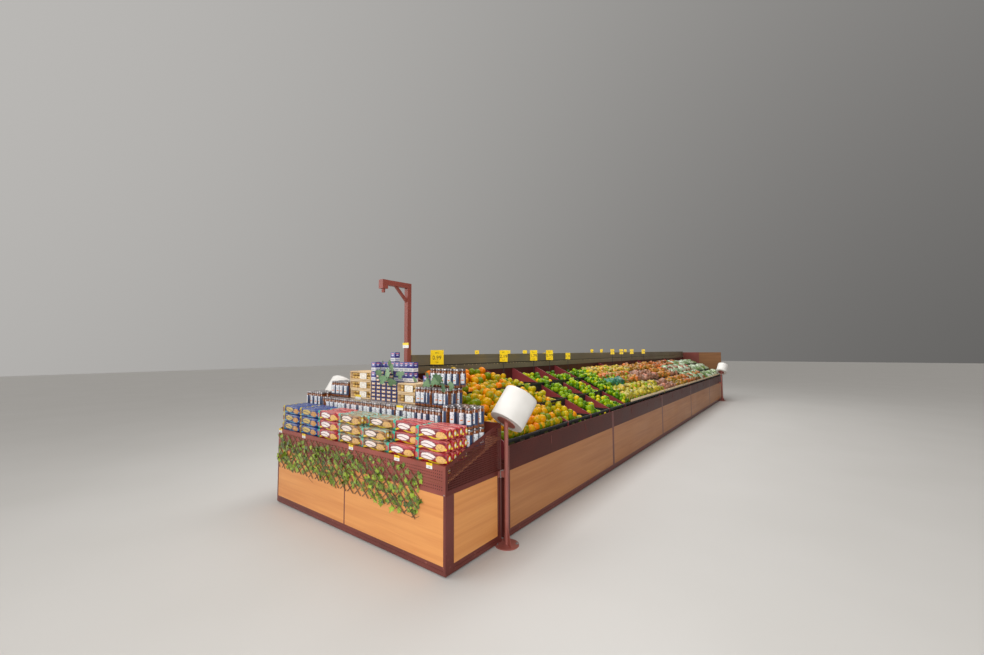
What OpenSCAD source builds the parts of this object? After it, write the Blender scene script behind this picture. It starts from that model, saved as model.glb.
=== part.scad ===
// Double-sided produce island with a stocked head unit, bag-roll stands and a scale post.
// X runs across the island, Y along it away from the head, Z up from the floor.

/* [Island] */
// Width over the two long sides
island_w = 2440; // [2300:10:2600]
// Clearance between the floor and the skirting
foot_h = 10; // [9:1:20]
// Diameter of a levelling foot
foot_d = 36; // [24:1:38]
// Distance of the levelling feet from the front and rear of the head unit
foot_inset = 130; // [125:5:200]
// Top of the skirting above the floor
skirt_top = 72; // [60:1:110]
// Thickness of the skirting boards
skirt_t = 18; // [12:1:19]
// Side of the square base rails
rail_w = 40; // [38:1:50]
// Top of the wood-grain panels above the floor
panel_top = 555; // [480:5:600]
// Thickness of the wood-grain panels
panel_t = 16; // [10:1:18]
// Top of the perforated band above the floor
band_top = 760; // [720:5:780]
// Sheet thickness of bands and cheeks
sheet_t = 3; // [1.5:0.5:4]
// Depth of the folded lips of a band
lip_w = 22; // [12:1:28]

/* [Head unit] */
// Depth of the head unit along the island
head_d = 667; // [640:1:720]
// Free gap between the head unit and the run
head_gap = 66; // [60:1:90]
// Width of the front strip of a corner profile
corner_w = 23; // [19:1:40]
// Depth of a front corner profile along the side
corner_d = 87; // [50:1:110]
// Depth of a rear corner profile along the side
rear_corner_d = 56; // [44:1:80]
// Width of the strip between the two front panels
joint_w = 16; // [10:1:30]
// Rear height of a cheek
cheek_top = 974; // [940:2:1000]
// Rise of the cheek edge above a straight line
cheek_bow = 14; // [4:1:30]
// Diameter of the rolled edge of a cheek
cheek_rim_d = 9; // [6:1:12]
// Height of the deck at its front edge
deck_front = 650; // [620:5:680]
// Slope of the deck
deck_angle = 18; // [14:0.5:20]
// Thickness of the deck board
deck_t = 18; // [12:1:25]

/* [Run] */
// Number of bays
bays = 5; // [5:1:6]
// Width of a bay post
post_w = 60; // [40:1:80]
// Depth of a bay post
post_d = 20; // [19:1:30]
// Thickness of the end boards
gable_t = 18; // [12:1:19]
// Top of the near end board above the floor
end_board_top = 620; // [500:5:626]
// Top of the far gable above the floor
gable_top = 1510; // [1450:5:1530]
// Lap of the painted middle board of the far gable past the top crates
gable_lap = 50; // [20:5:120]
// Thickness of the spine wall
spine_t = 40; // [24:2:60]
// Top of the spine wall above the floor
spine_top = 1345; // [1320:5:1400]
// Thickness of a divider board
divider_t = 12; // [6:1:16]
// Clearance between a divider board and the crates beside it
divider_play = 1.5; // [0.5:0.5:4]

/* [Crates] */
// Length of a crate along the island
crate_l = 600; // [560:5:640]
// Depth of a crate
crate_d = 400; // [380:5:400]
// Height of a crate
crate_h = 150; // [120:5:150]
// Wall thickness of a crate
crate_t = 5; // [3:0.5:8]
// Overhang of the crate rim
crate_rim = 6; // [3:1:10]
// Height of the crate rim
crate_rim_h = 14; // [8:1:25]
// Rim height of the lowest tier above the floor
tier_z = 800; // [795:1:830]
// Rise from one tier to the next
tier_rise = 178; // [176:1:190]
// Setback from one tier to the next
tier_run = 340; // [330:1:350]
// Distance of the lowest crates behind the long side
tier_inset = 40; // [32:1:50]
// Thickness of the shelves under the crates
shelf_t = 18; // [12:1:22]
// Thickness of the stepped boards under the shelves
step_board_t = 18; // [12:1:30]
// Clearance behind a row of crates
crate_play = 5; // [2:1:10]
// Width of a hand slot
slot_w = 90; // [60:5:120]
// Height of a hand slot
slot_h = 22; // [15:1:35]
// Spacing of the hand slots
slot_pitch = 170; // [130:5:185]
// Gap between a divider or spine and the heap beside it
heap_gap = 1; // [0.5:0.5:4]
// Bulge of a heap above a straight slope
heap_bulge = 45; // [20:1:70]
// Rise of the top heap towards the spine
top_heap_rise = 45; // [20:1:70]

/* [Ridge] */
// Width of the ridge bands
ridge_w = 90; // [60:2:140]
// Height of the lower ridge band
ridge_low_h = 74; // [50:1:100]
// Height of the open seam between the ridge bands
ridge_seam_h = 10; // [4:1:16]
// Height of the upper ridge band
ridge_up_h = 111; // [80:1:140]
// Setback of the seam behind the ridge bands
ridge_seam_in = 12; // [4:1:20]

/* [Scale post] */
// Side of the square post
scale_post_w = 50; // [40:1:55]
// Top of the post above the floor
scale_post_top = 2283; // [2000:5:2400]
// Reach of the arm in front of the post
scale_arm_l = 290; // [260:5:340]
// Side of the sleeve at the arm end
sleeve_w = 64; // [58:1:80]
// Height of the sleeve
sleeve_h = 88; // [70:1:120]
// Diameter of the drop tube in the sleeve
drop_d = 34; // [20:1:44]
// Length of the drop tube below the sleeve
drop_l = 37; // [20:1:60]
// Width of the brace strip
brace_w = 25; // [15:1:40]
// Reach of the brace along the arm
brace_l = 150; // [100:5:180]

/* [Bag rolls] */
// Distance of the pole axis from the long side
pole_out = 57; // [50:1:80]
// Diameter of the pole
pole_d = 35; // [25:1:40]
// Height of the middle of the flange above the floor
flange_z = 982; // [960:2:1040]
// Height of the flange centre of the far stands above the floor
far_flange_z = 887; // [860:1:1040]
// Diameter of the floor disc
disc_d = 200; // [160:2:204]
// Thickness of the floor disc
disc_t = 8; // [4:1:8]
// Diameter of the circle that the two floor bolts lie on
bolt_circle = 166; // [120:2:170]
// Diameter of a floor bolt hole
bolt_d = 12; // [8:1:16]
// Height of the gusset fins
gusset_h = 150; // [80:5:180]
// Thickness of the gusset fins
gusset_t = 4; // [3:0.5:8]
// Reach of the outer gusset fin from the pole axis
gusset_out = 82; // [60:1:90]
// Clearance between the inner gusset fin and the long side
gusset_play = 4; // [2:1:8]
// Turn of the gusset fins away from the island's width
gusset_turn = 28; // [20:1:50]
// Turn of the two floor bolts from the same line
bolt_turn = 38; // [30:1:60]
// Distance of the near stands in front of the head unit's rear face
near_stand = 7; // [0:1:20]
// Lean of the spindle from the vertical
roll_lean = 39; // [20:1:41]
// Turn of the lean away from the island's long axis
roll_turn = 15; // [5:1:25]
// Diameter of the flange under a roll
flange_d = 168; // [120:2:190]
// Thickness of the flange
flange_t = 4; // [3:0.5:8]
// Diameter of the spindle
spindle_d = 32; // [24:1:34]
// Diameter of a bag roll
roll_d = 300; // [240:5:310]
// Length of a bag roll
roll_l = 270; // [200:5:300]
// Bore of the cardboard core
core_d = 38; // [36:1:46]
// Distance of the far stands from the end of the run
far_stand = 680; // [600:10:1200]
// Height of the strap that ties a pole to the island
strap_z = 560; // [500:5:620]
// Height of the strap itself
strap_h = 50; // [30:1:60]
// Thickness of the web between strap and pole
web_t = 12; // [6:1:20]
// Lap of the strap past the pole or onto the bay post
strap_lap = 40; // [20:1:50]

/* [Price signs] */
// Side of the square price card at the near end
card_w = 150; // [100:5:200]
// Width of a small price card; a middling one is as wide as this one is high
small_card_w = 74; // [52:1:105]
// Thickness of a price card
card_t = 3; // [2:0.5:5]
// Lower edge of the near price cards above the floor
card_z = 1440; // [1400:5:1480]
// Rise of the farther cards above the near ones
card_rise = 62; // [0:2:100]
// Diameter of a card stem
stem_d = 7; // [5:1:9]
// Distance of the card stems from the middle of the island
stem_x = 220; // [150:5:300]
// Turn of the cards towards the aisle
card_turn = 20; // [0:1:45]
// Width of a shelf label
label_w = 62; // [40:1:90]
// Height of a shelf label
label_h = 42; // [36:1:60]
// Thickness of a shelf label
label_t = 1; // [0.5:0.5:3]

/* [Trellis] */
// Shift of the first crossing from the left end, as a share of the crossings' spacing
trellis_phase = 0.5; // [0:0.05:1]
// Width of a willow bar
bar_w = 8; // [5:1:12]
// Thickness of a willow bar
bar_t = 4; // [3:0.5:6]
// Spacing of the bars
bar_pitch = 71.9; // [60:0.1:110]
// Angle of the bars to the floor
bar_angle = 42; // [35:1:50]
// Drop of the trellis below the top of the band
trellis_drop = 36; // [20:1:60]
// Hanging height of the trellis at its left end
trellis_h = 355; // [300:5:400]
// Distance of the trellis from the left side
trellis_left = 20; // [10:5:60]
// Distance of its slack right end from the right side
trellis_right = 270; // [200:10:400]
// Hanging height of the slack right end
trellis_tail_h = 395; // [300:5:420]

/* [Stock] */
// Depth of the snack packets on the deck
packet_d = 245; // [200:5:260]
// Level top of the snack packets above the floor
packet_top = 1020; // [980:5:1060]
// Clearance around each kind of stock
stock_gap = 8; // [2:1:12]
// Top of the low jar tier above the floor
jar_low_top = 1095; // [1070:1:1110]
// Width of the raised jar groups at both ends
jar_end_w = 320; // [240:10:340]
// Depth of the raised jar groups
jar_end_d = 270; // [200:5:275]
// Top of the raised jar groups above the floor
jar_end_top = 1137; // [1120:1:1150]
// Height of the jars of the upper tiers
jar_h = 163; // [140:1:175]
// Depth of the middle jar tier
jar_mid_d = 265; // [200:5:280]
// Depth of the stock on the upper levels
jar_top_d = 150; // [100:5:180]
// Width of the left group of the middle jar tier
jar_mid_left_w = 310; // [250:5:330]
// Width of the right group of the middle jar tier
jar_mid_right_w = 425; // [380:5:440]
// Width of the top jar tier
jar_top_w = 355; // [250:5:370]
// Depth of a wood tray
tray_d = 230; // [180:5:240]
// Height of a wood tray
tray_h = 93; // [80:1:98]
// Width of the left stack of trays
tray_left_w = 350; // [250:5:360]
// Number of trays in the left stack
tray_left_count = 3; // [1:1:4]
// Width of the right stack of trays
tray_right_w = 250; // [200:5:260]
// Height of one small tin
small_tin_h = 37.2; // [32:0.2:39]
// Number of layers of small tins
small_tin_layers = 5; // [4:1:5]
// Layers of the small tins that stand on top of them
upper_tin_layers = 3; // [1:1:4]
// Width of these upper layers
upper_tin_w = 200; // [120:5:240]
// Height of one boxed tin
boxed_tin_h = 96; // [70:1:100]
// Width and depth of one boxed tin
boxed_tin_w = 66.5; // [60:0.5:68]
// Boxed tins side by side
stack_columns = 8; // [4:1:9]
// Tins of the row to the left of the one on top
top_tin_column = 3; // [0:1:3]

/* [Hidden] */
$fn = 64;
eps = 0.01;
fit = 0.3;
columns = 4;
tiers = 3;
column_l = crate_l + divider_t + 2 * divider_play;
bay_l = columns * column_l;
panel_l = bay_l - post_w;
run_l = bays * bay_l + post_w;
trellis_out = fit + 2 * bar_t;
overall_l = trellis_out + head_d + head_gap + run_l;
side_x = island_w / 2;
head_y0 = -overall_l / 2 + trellis_out;
head_y1 = head_y0 + head_d;
run_y0 = head_y1 + head_gap;
run_y1 = run_y0 + run_l;
rail_top = foot_h + rail_w;
head_rail_x = side_x - corner_w - rail_w;
run_rail_x = side_x - post_d - rail_w;
base_y0 = run_y0 + gable_t;
base_y1 = run_y1 - gable_t;
bar_count = 2 * bays;
column_y0 = run_y0 + post_w / 2;
column_count = bays * columns;
deck_back = head_y1 - panel_t;
seam_z = spine_top + ridge_low_h;
ridge_up_z = seam_z + ridge_seam_h;
near_y = head_y1 - near_stand;
far_y = run_y1 - far_stand;
gable_mid = side_x - tier_inset - (tiers - 1) * tier_run + gable_lap;
crate_wall = crate_rim + crate_t;
gusset_in = (pole_out - gusset_play) / cos(gusset_turn);
stock_x = side_x - cheek_rim_d - fit;
packet_y0 = head_y0 + lip_w + fit;
packet_y1 = packet_y0 + packet_d;
jar_y0 = packet_y1 + stock_gap;
stock_back = deck_back - stock_gap;
jar_mid_x = stock_x - jar_end_w - stock_gap;
// Stock on the low jar tier, from left to right, ends against the right jar group
tray_left_x = -jar_mid_x + jar_mid_left_w + stock_gap;
small_tin_x = tray_left_x + tray_left_w + stock_gap;
tray_right_x = jar_mid_x - jar_mid_right_w - stock_gap - tray_right_w;

maroon = [0.42, 0.22, 0.21];
wood = [0.83, 0.6, 0.37];
black = [0.08, 0.08, 0.08];
steel = [0.5, 0.48, 0.42];
yellow = [0.95, 0.85, 0.1];

// Front, back, rim and floor of tier i, counted from the lowest
function tier_front(i) = side_x - tier_inset - i * tier_run;
function tier_back(i) = tier_front(i) - crate_d;
function tier_rim(i) = tier_z + i * tier_rise;
function tier_floor(i) = tier_rim(i) - crate_h;
function deck_z(y) = deck_front + (y - head_y0) * tan(deck_angle);
function column_y(c) = column_y0 + c * column_l;
// Crossbars of the base lie evenly between the two end boards
function bar_y(j) = base_y0 + j * (base_y1 - base_y0 - rail_w) / bar_count;

// Each compartment runs from one divider to the next: first column, last column, and the fill of
// its heaps at the near and at the far end
ORANGES = [[0, 2, 1, 1]];
MANDARINS = [[2, 3, 0.85, 0.2]];
GREEN_ORANGES = [[3, 4, 0.85, 0.2]];
LIMES = [[4, 5, 0.8, 0.8], [5, 8, 0.95, 0.95]];
BAGGED_CITRUS = [[8, 12, 0.85, 0.85]];
MESH_SACKS = [[12, 16, 0.9, 0.9]];
PACKED_GREENS = [[16, column_count, 0.7, 0.7]];
COMPARTMENTS = concat(ORANGES, MANDARINS, GREEN_ORANGES, LIMES, BAGGED_CITRUS, MESH_SACKS,
                      PACKED_GREENS);
// Sizes of the price cards: a square one, then two of a paper series, each half the one before
small_card = [small_card_w, small_card_w * sqrt(2)];
middling_card = [small_card[1], 2 * small_card_w];
square_card = [card_w, card_w];
// Each sign: column at which it stands, size of its card, height of the card's lower edge
SIGNS = [
  [0.25, square_card, card_z], [2.2, middling_card, card_z], [3.4, middling_card, card_z],
  [4.15, middling_card, card_z], [5.15, small_card, card_z], [8.4, small_card, card_z + card_rise],
  [9.25, small_card, card_z + card_rise], [10.35, small_card, card_z + card_rise],
  [11.75, small_card, card_z + card_rise]
];

// Both long sides carry the same pieces
module both_sides() {
  children();
  mirror([1, 0, 0]) children();
}

// A box given by its lowest and highest corners
module block(low, high) {
  translate(low) cube(high - low);
}

// An outline in X and Z, carried along Y from y0 to y1
module along_y(y0, y1) {
  translate([0, y1, 0]) rotate([90, 0, 0]) linear_extrude(y1 - y0) children();
}

// An outline in Y and Z, carried along X from x0 to x1
module along_x(x0, x1) {
  translate([x0, 0, 0]) rotate([90, 0, 90]) linear_extrude(x1 - x0) children();
}

// Moves a board drawn against X = 0 or Y = 0 so that its face lies in the long side
module at_side() {
  translate([side_x, 0, 0]) mirror([1, 0, 0]) children();
}

module foot(x, y) {
  translate([x, y, 0]) cylinder(d = foot_d, h = foot_h);
}

module levelling_feet() {
  color("dimgray") for (s = [-1, 0, 1]) {
    for (y = [head_y0 + foot_inset, head_y1 - foot_inset])
      foot(s * (head_rail_x + rail_w / 2), y);
    for (k = [0 : bays])
      foot(s * (run_rail_x + rail_w / 2), bar_y(2 * k) + rail_w / 2);
  }
}

// Three bearers across the depth of the head unit, with the skirting against their ends
module head_base() {
  color(maroon) for (x = [-head_rail_x - rail_w, -rail_w / 2, head_rail_x])
    block([x, head_y0 + skirt_t, foot_h], [x + rail_w, head_y1 - skirt_t, rail_top]);
}

// A skirting board seen from its end, with a shadow groove halfway up
module skirt_profile() {
  groove = 3;
  difference() {
    translate([0, foot_h]) square([skirt_t, skirt_top - foot_h]);
    translate([-eps, (foot_h + skirt_top) / 2]) square([groove, groove]);
  }
}

module head_skirting() {
  color(maroon) {
    along_x(-side_x + corner_w, side_x - corner_w) translate([head_y0, 0]) skirt_profile();
    along_x(-side_x + corner_w, side_x - corner_w)
      translate([head_y1, 0]) mirror([1, 0]) skirt_profile();
    both_sides() at_side()
      along_y(head_y0 + corner_d, head_y1 - rear_corner_d) skirt_profile();
  }
}

module head_corner_profiles() {
  groove_w = rear_corner_d * 0.4;
  groove_y = head_y1 - rear_corner_d / 2;
  color(maroon) both_sides() {
    block([side_x - corner_w, head_y0, foot_h], [side_x, head_y0 + corner_d, panel_top]);
    difference() {
      block([side_x - corner_w, head_y1 - rear_corner_d, foot_h],
            [side_x, head_y1, panel_top]);
      block([side_x - corner_w / 2, groove_y - groove_w / 2, foot_h - eps],
            [side_x + eps, groove_y + groove_w / 2, panel_top + eps]);
    }
  }
}

module head_front_panels() {
  color(wood) both_sides()
    block([joint_w / 2, head_y0, skirt_top], [side_x - corner_w, head_y0 + panel_t, panel_top]);
}

module head_joint_strip() {
  color(maroon)
    block([-joint_w / 2, head_y0, skirt_top], [joint_w / 2, head_y0 + panel_t, panel_top]);
}

module head_side_panels() {
  color(wood) both_sides()
    block([side_x - panel_t, head_y0 + corner_d, skirt_top],
          [side_x, head_y1 - rear_corner_d, panel_top]);
}

module head_back_panel() {
  color(maroon)
    block([-side_x + corner_w, head_y1 - panel_t, skirt_top],
          [side_x - corner_w, head_y1, cheek_top]);
}

// A folded band seen from its end: a face with a lip at the top and the bottom
module band_profile() {
  difference() {
    translate([0, panel_top]) square([lip_w, band_top - panel_top]);
    translate([sheet_t, panel_top + sheet_t])
      square([lip_w, band_top - panel_top - 2 * sheet_t]);
  }
}

module head_front_band() {
  color(maroon)
    along_x(-side_x + sheet_t, side_x - sheet_t) translate([head_y0, 0]) band_profile();
}

// Points i0 to i1 of n along the cheek's upper edge, a shallow bow between its ends
function cheek_edge(i0, i1, n, drop = 0) =
  [for (i = [i0 : i1]) let (t = i / n)
    [head_y0 + t * head_d,
     band_top + t * (cheek_top - band_top) + 4 * cheek_bow * t * (1 - t) - drop]];

function reversed(list) = [for (i = [len(list) - 1 : -1 : 0]) list[i]];

module head_cheek() {
  n = 12;
  along_x(side_x - sheet_t, side_x)
    polygon(concat([[head_y1, panel_top], [head_y0, panel_top]], cheek_edge(0, n, n)));
  along_x(side_x - cheek_rim_d, side_x - sheet_t)
    polygon(concat(cheek_edge(1, n - 1, n), reversed(cheek_edge(1, n - 1, n, cheek_rim_d))));
}

module head_cheek_right() {
  color(maroon) head_cheek();
}

module head_cheek_left() {
  color(maroon) mirror([1, 0, 0]) head_cheek();
}

module head_deck() {
  y0 = head_y0 + sheet_t;
  color(wood) along_x(-side_x + sheet_t, side_x - sheet_t)
    polygon([[y0, deck_z(y0)], [deck_back, deck_z(deck_back)],
             [deck_back, deck_z(deck_back) - deck_t], [y0, deck_z(y0) - deck_t]]);
}

// Three rails along the run
module run_base() {
  color(maroon) for (x = [-run_rail_x - rail_w, -rail_w / 2, run_rail_x])
    block([x, base_y0, foot_h], [x + rail_w, base_y1, rail_top]);
}

// Crossbars between the rails, two to each bay
module run_crossbars() {
  color(maroon) both_sides() for (j = [0 : bar_count])
    block([rail_w / 2, bar_y(j), foot_h], [run_rail_x, bar_y(j) + rail_w, rail_top]);
}

module run_end_board() {
  color(maroon)
    block([-side_x + post_d, run_y0, foot_h], [side_x - post_d, run_y0 + gable_t, end_board_top]);
}

// Repeats a piece of one bay along the run; the piece is drawn from Y = 0 to panel_l
module each_bay() {
  for (k = [0 : bays - 1]) translate([0, run_y0 + post_w + k * bay_l, 0]) children();
}

module run_skirting() {
  color(maroon) both_sides() each_bay() at_side() along_y(0, panel_l) skirt_profile();
}

module run_posts() {
  color(maroon) both_sides() for (k = [0 : bays])
    block([side_x - post_d, run_y0 + k * bay_l, foot_h],
          [side_x, run_y0 + k * bay_l + post_w, band_top]);
}

module run_panels() {
  color(wood) both_sides() each_bay()
    block([side_x - panel_t, 0, skirt_top], [side_x, panel_l, panel_top]);
}

module run_bands() {
  color(maroon) both_sides() each_bay() at_side() along_y(0, panel_l) band_profile();
}

// A shelf board for each tier, from end board to end board
module tier_shelves() {
  color(maroon) both_sides() for (i = [0 : tiers - 1])
    block([tier_back(i), base_y0, tier_floor(i) - shelf_t],
          [tier_front(i), base_y1, tier_floor(i)]);
}

// Upright boards under the shelves, one for each tier over the crossbar of each bay post
module tier_rack() {
  for (k = [0 : bays], i = [0 : tiers - 1]) {
    y = bar_y(2 * k) + (rail_w - step_board_t) / 2;
    block([tier_back(i) + crate_play, y, rail_top],
          [i == 0 ? tier_front(0) - crate_play : tier_back(i - 1) - crate_play,
           y + step_board_t, tier_floor(i) - shelf_t]);
  }
}

module tier_rack_right() {
  color(maroon) tier_rack();
}

module tier_rack_left() {
  color(maroon) mirror([1, 0, 0]) tier_rack();
}

module spine_wall() {
  color(maroon)
    block([-spine_t / 2, base_y0, rail_top], [spine_t / 2, base_y1, spine_top]);
}

// A board that slopes from the spine to the front crates and steps over the shelves
module divider_boards() {
  outline = [
    [spine_t / 2, spine_top], [tier_front(0), tier_rim(0)], [tier_front(0), tier_floor(0)],
    [tier_front(1), tier_floor(0)], [tier_front(1), tier_floor(1)],
    [tier_front(2), tier_floor(1)], [tier_front(2), tier_floor(2)],
    [spine_t / 2, tier_floor(2)]
  ];
  color([0.5, 0.2, 0.2]) both_sides() for (c = COMPARTMENTS)
    along_y(column_y(c[0]) - divider_t / 2, column_y(c[0]) + divider_t / 2) polygon(outline);
}

module ridge_band(z, h) {
  color(steel) block([-ridge_w / 2, run_y0, z], [ridge_w / 2, base_y1, z + h]);
}

module ridge_lower_band() {
  ridge_band(spine_top, ridge_low_h);
}

module ridge_seam() {
  x = ridge_w / 2 - ridge_seam_in;
  color(black) block([-x, run_y0, seam_z], [x, base_y1, ridge_up_z]);
}

module ridge_upper_band() {
  ridge_band(ridge_up_z, ridge_up_h);
}

module far_gable_boards() {
  color(wood) both_sides()
    block([gable_mid, base_y1, foot_h], [side_x - post_d, run_y1, gable_top]);
}

module far_gable_middle() {
  color(maroon) block([-gable_mid, base_y1, foot_h], [gable_mid, run_y1, gable_top]);
}

// An open crate with a rim and three hand slots in its front wall
module crate() {
  difference() {
    union() {
      translate([crate_rim, crate_rim, 0])
        cube([crate_d - 2 * crate_rim, crate_l - 2 * crate_rim, crate_h]);
      translate([0, 0, crate_h - crate_rim_h]) cube([crate_d, crate_l, crate_rim_h]);
    }
    translate([crate_wall, crate_wall, crate_t])
      cube([crate_d - 2 * crate_wall, crate_l - 2 * crate_wall, crate_h]);
    for (k = [-1, 0, 1])
      translate([crate_d - crate_wall - eps, crate_l / 2 + k * slot_pitch - slot_w / 2,
                 crate_h - 2 * crate_rim_h - slot_h])
        cube([crate_t + 2 * eps, slot_w, slot_h]);
  }
}

// Where the crate of column c stands on tier i
module at_crate(c, i) {
  translate([tier_back(i), column_y(c) + (column_l - crate_l) / 2, tier_floor(i)]) children();
}

module crate_tier(i) {
  color(black) both_sides() for (c = [0 : column_count - 1]) at_crate(c, i) crate();
}

module crates_front_tier() {
  crate_tier(0);
}

module crates_middle_tier() {
  crate_tier(1);
}

module crates_top_tier() {
  crate_tier(2);
}

// Back edge and rise of the heap on tier i
function heap_back(i) = i < tiers - 1 ? tier_front(i + 1) + heap_gap : tier_back(i) + crate_t;
function heap_rise(i, fill) =
  i < tiers - 1 ? fill * (tier_rise - crate_rim_h) : fill * top_heap_rise;
// Height of the heap's surface: a straight slope with a parabola on it
function heap_z(i, fill, u) =
  tier_rim(i) + heap_rise(i, fill) * u + 4 * heap_bulge * fill * u * (1 - u);

module heap_profile(i, fill) {
  n = 8;
  x0 = tier_front(i) - crate_rim;
  x1 = heap_back(i);
  polygon(concat([[x1, tier_rim(i)]], [for (k = [0 : n]) let (u = k / n)
    [x0 + (x1 - x0) * u, heap_z(i, fill, u)]]));
}

// The part of a heap that lies inside one crate
module crate_fill() {
  inset = crate_wall + fit;
  translate([inset, inset, crate_t + fit])
    cube([crate_d - 2 * inset, crate_l - 2 * inset, crate_h - crate_t - fit]);
}

function top_fill(c) = (c[2] + c[3]) / 2;

// The part of a heap over the rims; it sinks towards the far end where the fills differ
module heap_crown(i, c) {
  side = divider_t / 2 + heap_gap;
  y0 = column_y(c[0]) + side;
  y1 = column_y(c[1]) - side;
  if (i == tiers - 1 || c[2] == c[3]) {
    along_y(y0, y1) heap_profile(i, top_fill(c));
  } else {
    hull() {
      along_y(y0, y0 + side) heap_profile(i, c[2]);
      along_y(y1 - side, y1) heap_profile(i, c[3]);
    }
  }
}

// One heap a tier in each compartment: it fills the crates and rises over their rims
module heaps(list) {
  both_sides() for (c = list, i = [0 : tiers - 1]) {
    heap_crown(i, c);
    for (k = [c[0] : c[1] - 1]) at_crate(k, i) crate_fill();
  }
}

module orange_heaps() {
  color("orange") heaps(ORANGES);
}

module mandarin_heaps() {
  color("gold") heaps(MANDARINS);
}

module green_orange_heaps() {
  color("yellowgreen") heaps(GREEN_ORANGES);
}

module lime_heaps() {
  color("limegreen") heaps(LIMES);
}

module bagged_citrus() {
  color("olive") heaps(BAGGED_CITRUS);
}

module mesh_sacks() {
  color("rosybrown") heaps(MESH_SACKS);
}

module packed_greens() {
  color("palegreen") heaps(PACKED_GREENS);
}

// A square post in the gap with an arm over the head unit, a brace and a sleeve
module scale_post() {
  half = scale_post_w / 2;
  y1 = run_y0;
  y0 = y1 - scale_post_w;
  arm_y = y0 - scale_arm_l;
  arm_z = scale_post_top - scale_post_w;
  wall = 3;
  color(maroon) {
    block([-half, y0, 0], [half, y1, scale_post_top]);
    block([-half, arm_y, arm_z], [half, y0, scale_post_top]);
    block([-sleeve_w / 2, arm_y - sleeve_w / 2, scale_post_top - sleeve_h],
          [sleeve_w / 2, arm_y + sleeve_w / 2, scale_post_top]);
    translate([0, arm_y, scale_post_top - sleeve_h - drop_l])
      cylinder(d = drop_d, h = drop_l + wall);
    along_x(-brace_w / 2, brace_w / 2)
      polygon([[y0, arm_z - brace_l], [y0, arm_z - brace_l + brace_w * 1.4],
               [y0 - brace_l + brace_w * 1.4, arm_z], [y0 - brace_l, arm_z]]);
  }
}

// Turns a piece drawn upright at the origin onto the spindle's lean
module on_spindle(y, z) {
  translate([side_x + pole_out, y, z]) rotate([-roll_lean, 0, -roll_turn]) children();
}

// A stand with a pole cut off along its leaning flange, whose centre is at height z; its strap
// runs along the long side from tie_y0 to tie_y1
module roll_stand(y, z, tie_y0, tie_y1) {
  x = side_x + pole_out;
  strap_z0 = strap_z - strap_h / 2;
  difference() {
    union() {
      translate([x, y, 0]) cylinder(d = disc_d, h = disc_t);
      difference() {
        translate([x, y, disc_t]) cylinder(d = pole_d, h = z + pole_d - disc_t);
        on_spindle(y, z) cylinder(d = flange_d, h = flange_d);
      }
      for (fin = [[gusset_out, -gusset_turn], [gusset_in, 180 - gusset_turn]])
        translate([x, y, disc_t]) rotate([90, 0, fin[1]]) translate([0, 0, -gusset_t / 2])
          linear_extrude(gusset_t)
            polygon([[0, 0], [fin[0], 0], [pole_d / 2, gusset_h], [0, gusset_h]]);
      block([side_x, tie_y0, strap_z0], [side_x + sheet_t, tie_y1, strap_z0 + strap_h]);
      block([side_x, y - web_t / 2, strap_z0], [x, y + web_t / 2, strap_z0 + strap_h]);
      on_spindle(y, z) {
        cylinder(d = flange_d, h = flange_t);
        cylinder(d = spindle_d, h = flange_t + roll_l);
      }
    }
    for (s = [-1, 1]) translate([x, y, -eps]) rotate([0, 0, bolt_turn])
      translate([s * bolt_circle / 2, 0, 0]) cylinder(d = bolt_d, h = disc_t + 2 * eps);
  }
}

module roll_stands() {
  color(maroon) both_sides() {
    roll_stand(near_y, flange_z, near_y - strap_lap, run_y0 + strap_lap);
    roll_stand(far_y, far_flange_z, far_y - strap_lap, far_y + strap_lap);
  }
}

module bag_roll(y, z) {
  color("white") on_spindle(y, z) translate([0, 0, flange_t + fit]) difference() {
    cylinder(d = roll_d, h = roll_l);
    translate([0, 0, -eps]) cylinder(d = core_d, h = roll_l + 2 * eps);
  }
}

module bag_roll_right_near() {
  bag_roll(near_y, flange_z);
}

module bag_roll_right_far() {
  bag_roll(far_y, far_flange_z);
}

module bag_roll_left_near() {
  mirror([1, 0, 0]) bag_roll(near_y, flange_z);
}

module bag_roll_left_far() {
  mirror([1, 0, 0]) bag_roll(far_y, far_flange_z);
}

// The even fill of the top heap in the compartment that holds column c
function fill_at(c) = [for (k = COMPARTMENTS) if (c >= k[0] && c < k[1]) top_fill(k)][0];

// Stems stand on the top heap, half a stem behind the point where its surface is taken
module card_stems() {
  i = tiers - 1;
  reach = tier_front(i) - crate_rim - heap_back(i);
  u = (tier_front(i) - crate_rim - stem_x) / reach;
  color("dimgray") both_sides() for (sign = SIGNS) {
    z = heap_z(i, fill_at(sign[0]), u) + fit;
    translate([stem_x, column_y(sign[0]), z]) cylinder(d = stem_d, h = sign[2] - z);
  }
}

module price_cards() {
  color(yellow) both_sides() for (sign = SIGNS)
    translate([stem_x, column_y(sign[0]), sign[2]]) rotate([0, 0, card_turn])
      translate([-sign[1][0] / 2, -card_t / 2, 0]) cube([sign[1][0], card_t, sign[1][1]]);
}

// Places of the shelf labels along the band, as shares of its half width
LABELS = [-0.97, -0.58, 0.07, 0.57, 0.865];

module shelf_labels() {
  z = band_top - trellis_drop + fit;
  color(yellow) for (k = LABELS)
    block([k * side_x - label_w / 2, head_y0 - label_t, z],
          [k * side_x + label_w / 2, head_y0, z + label_h]);
}

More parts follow.
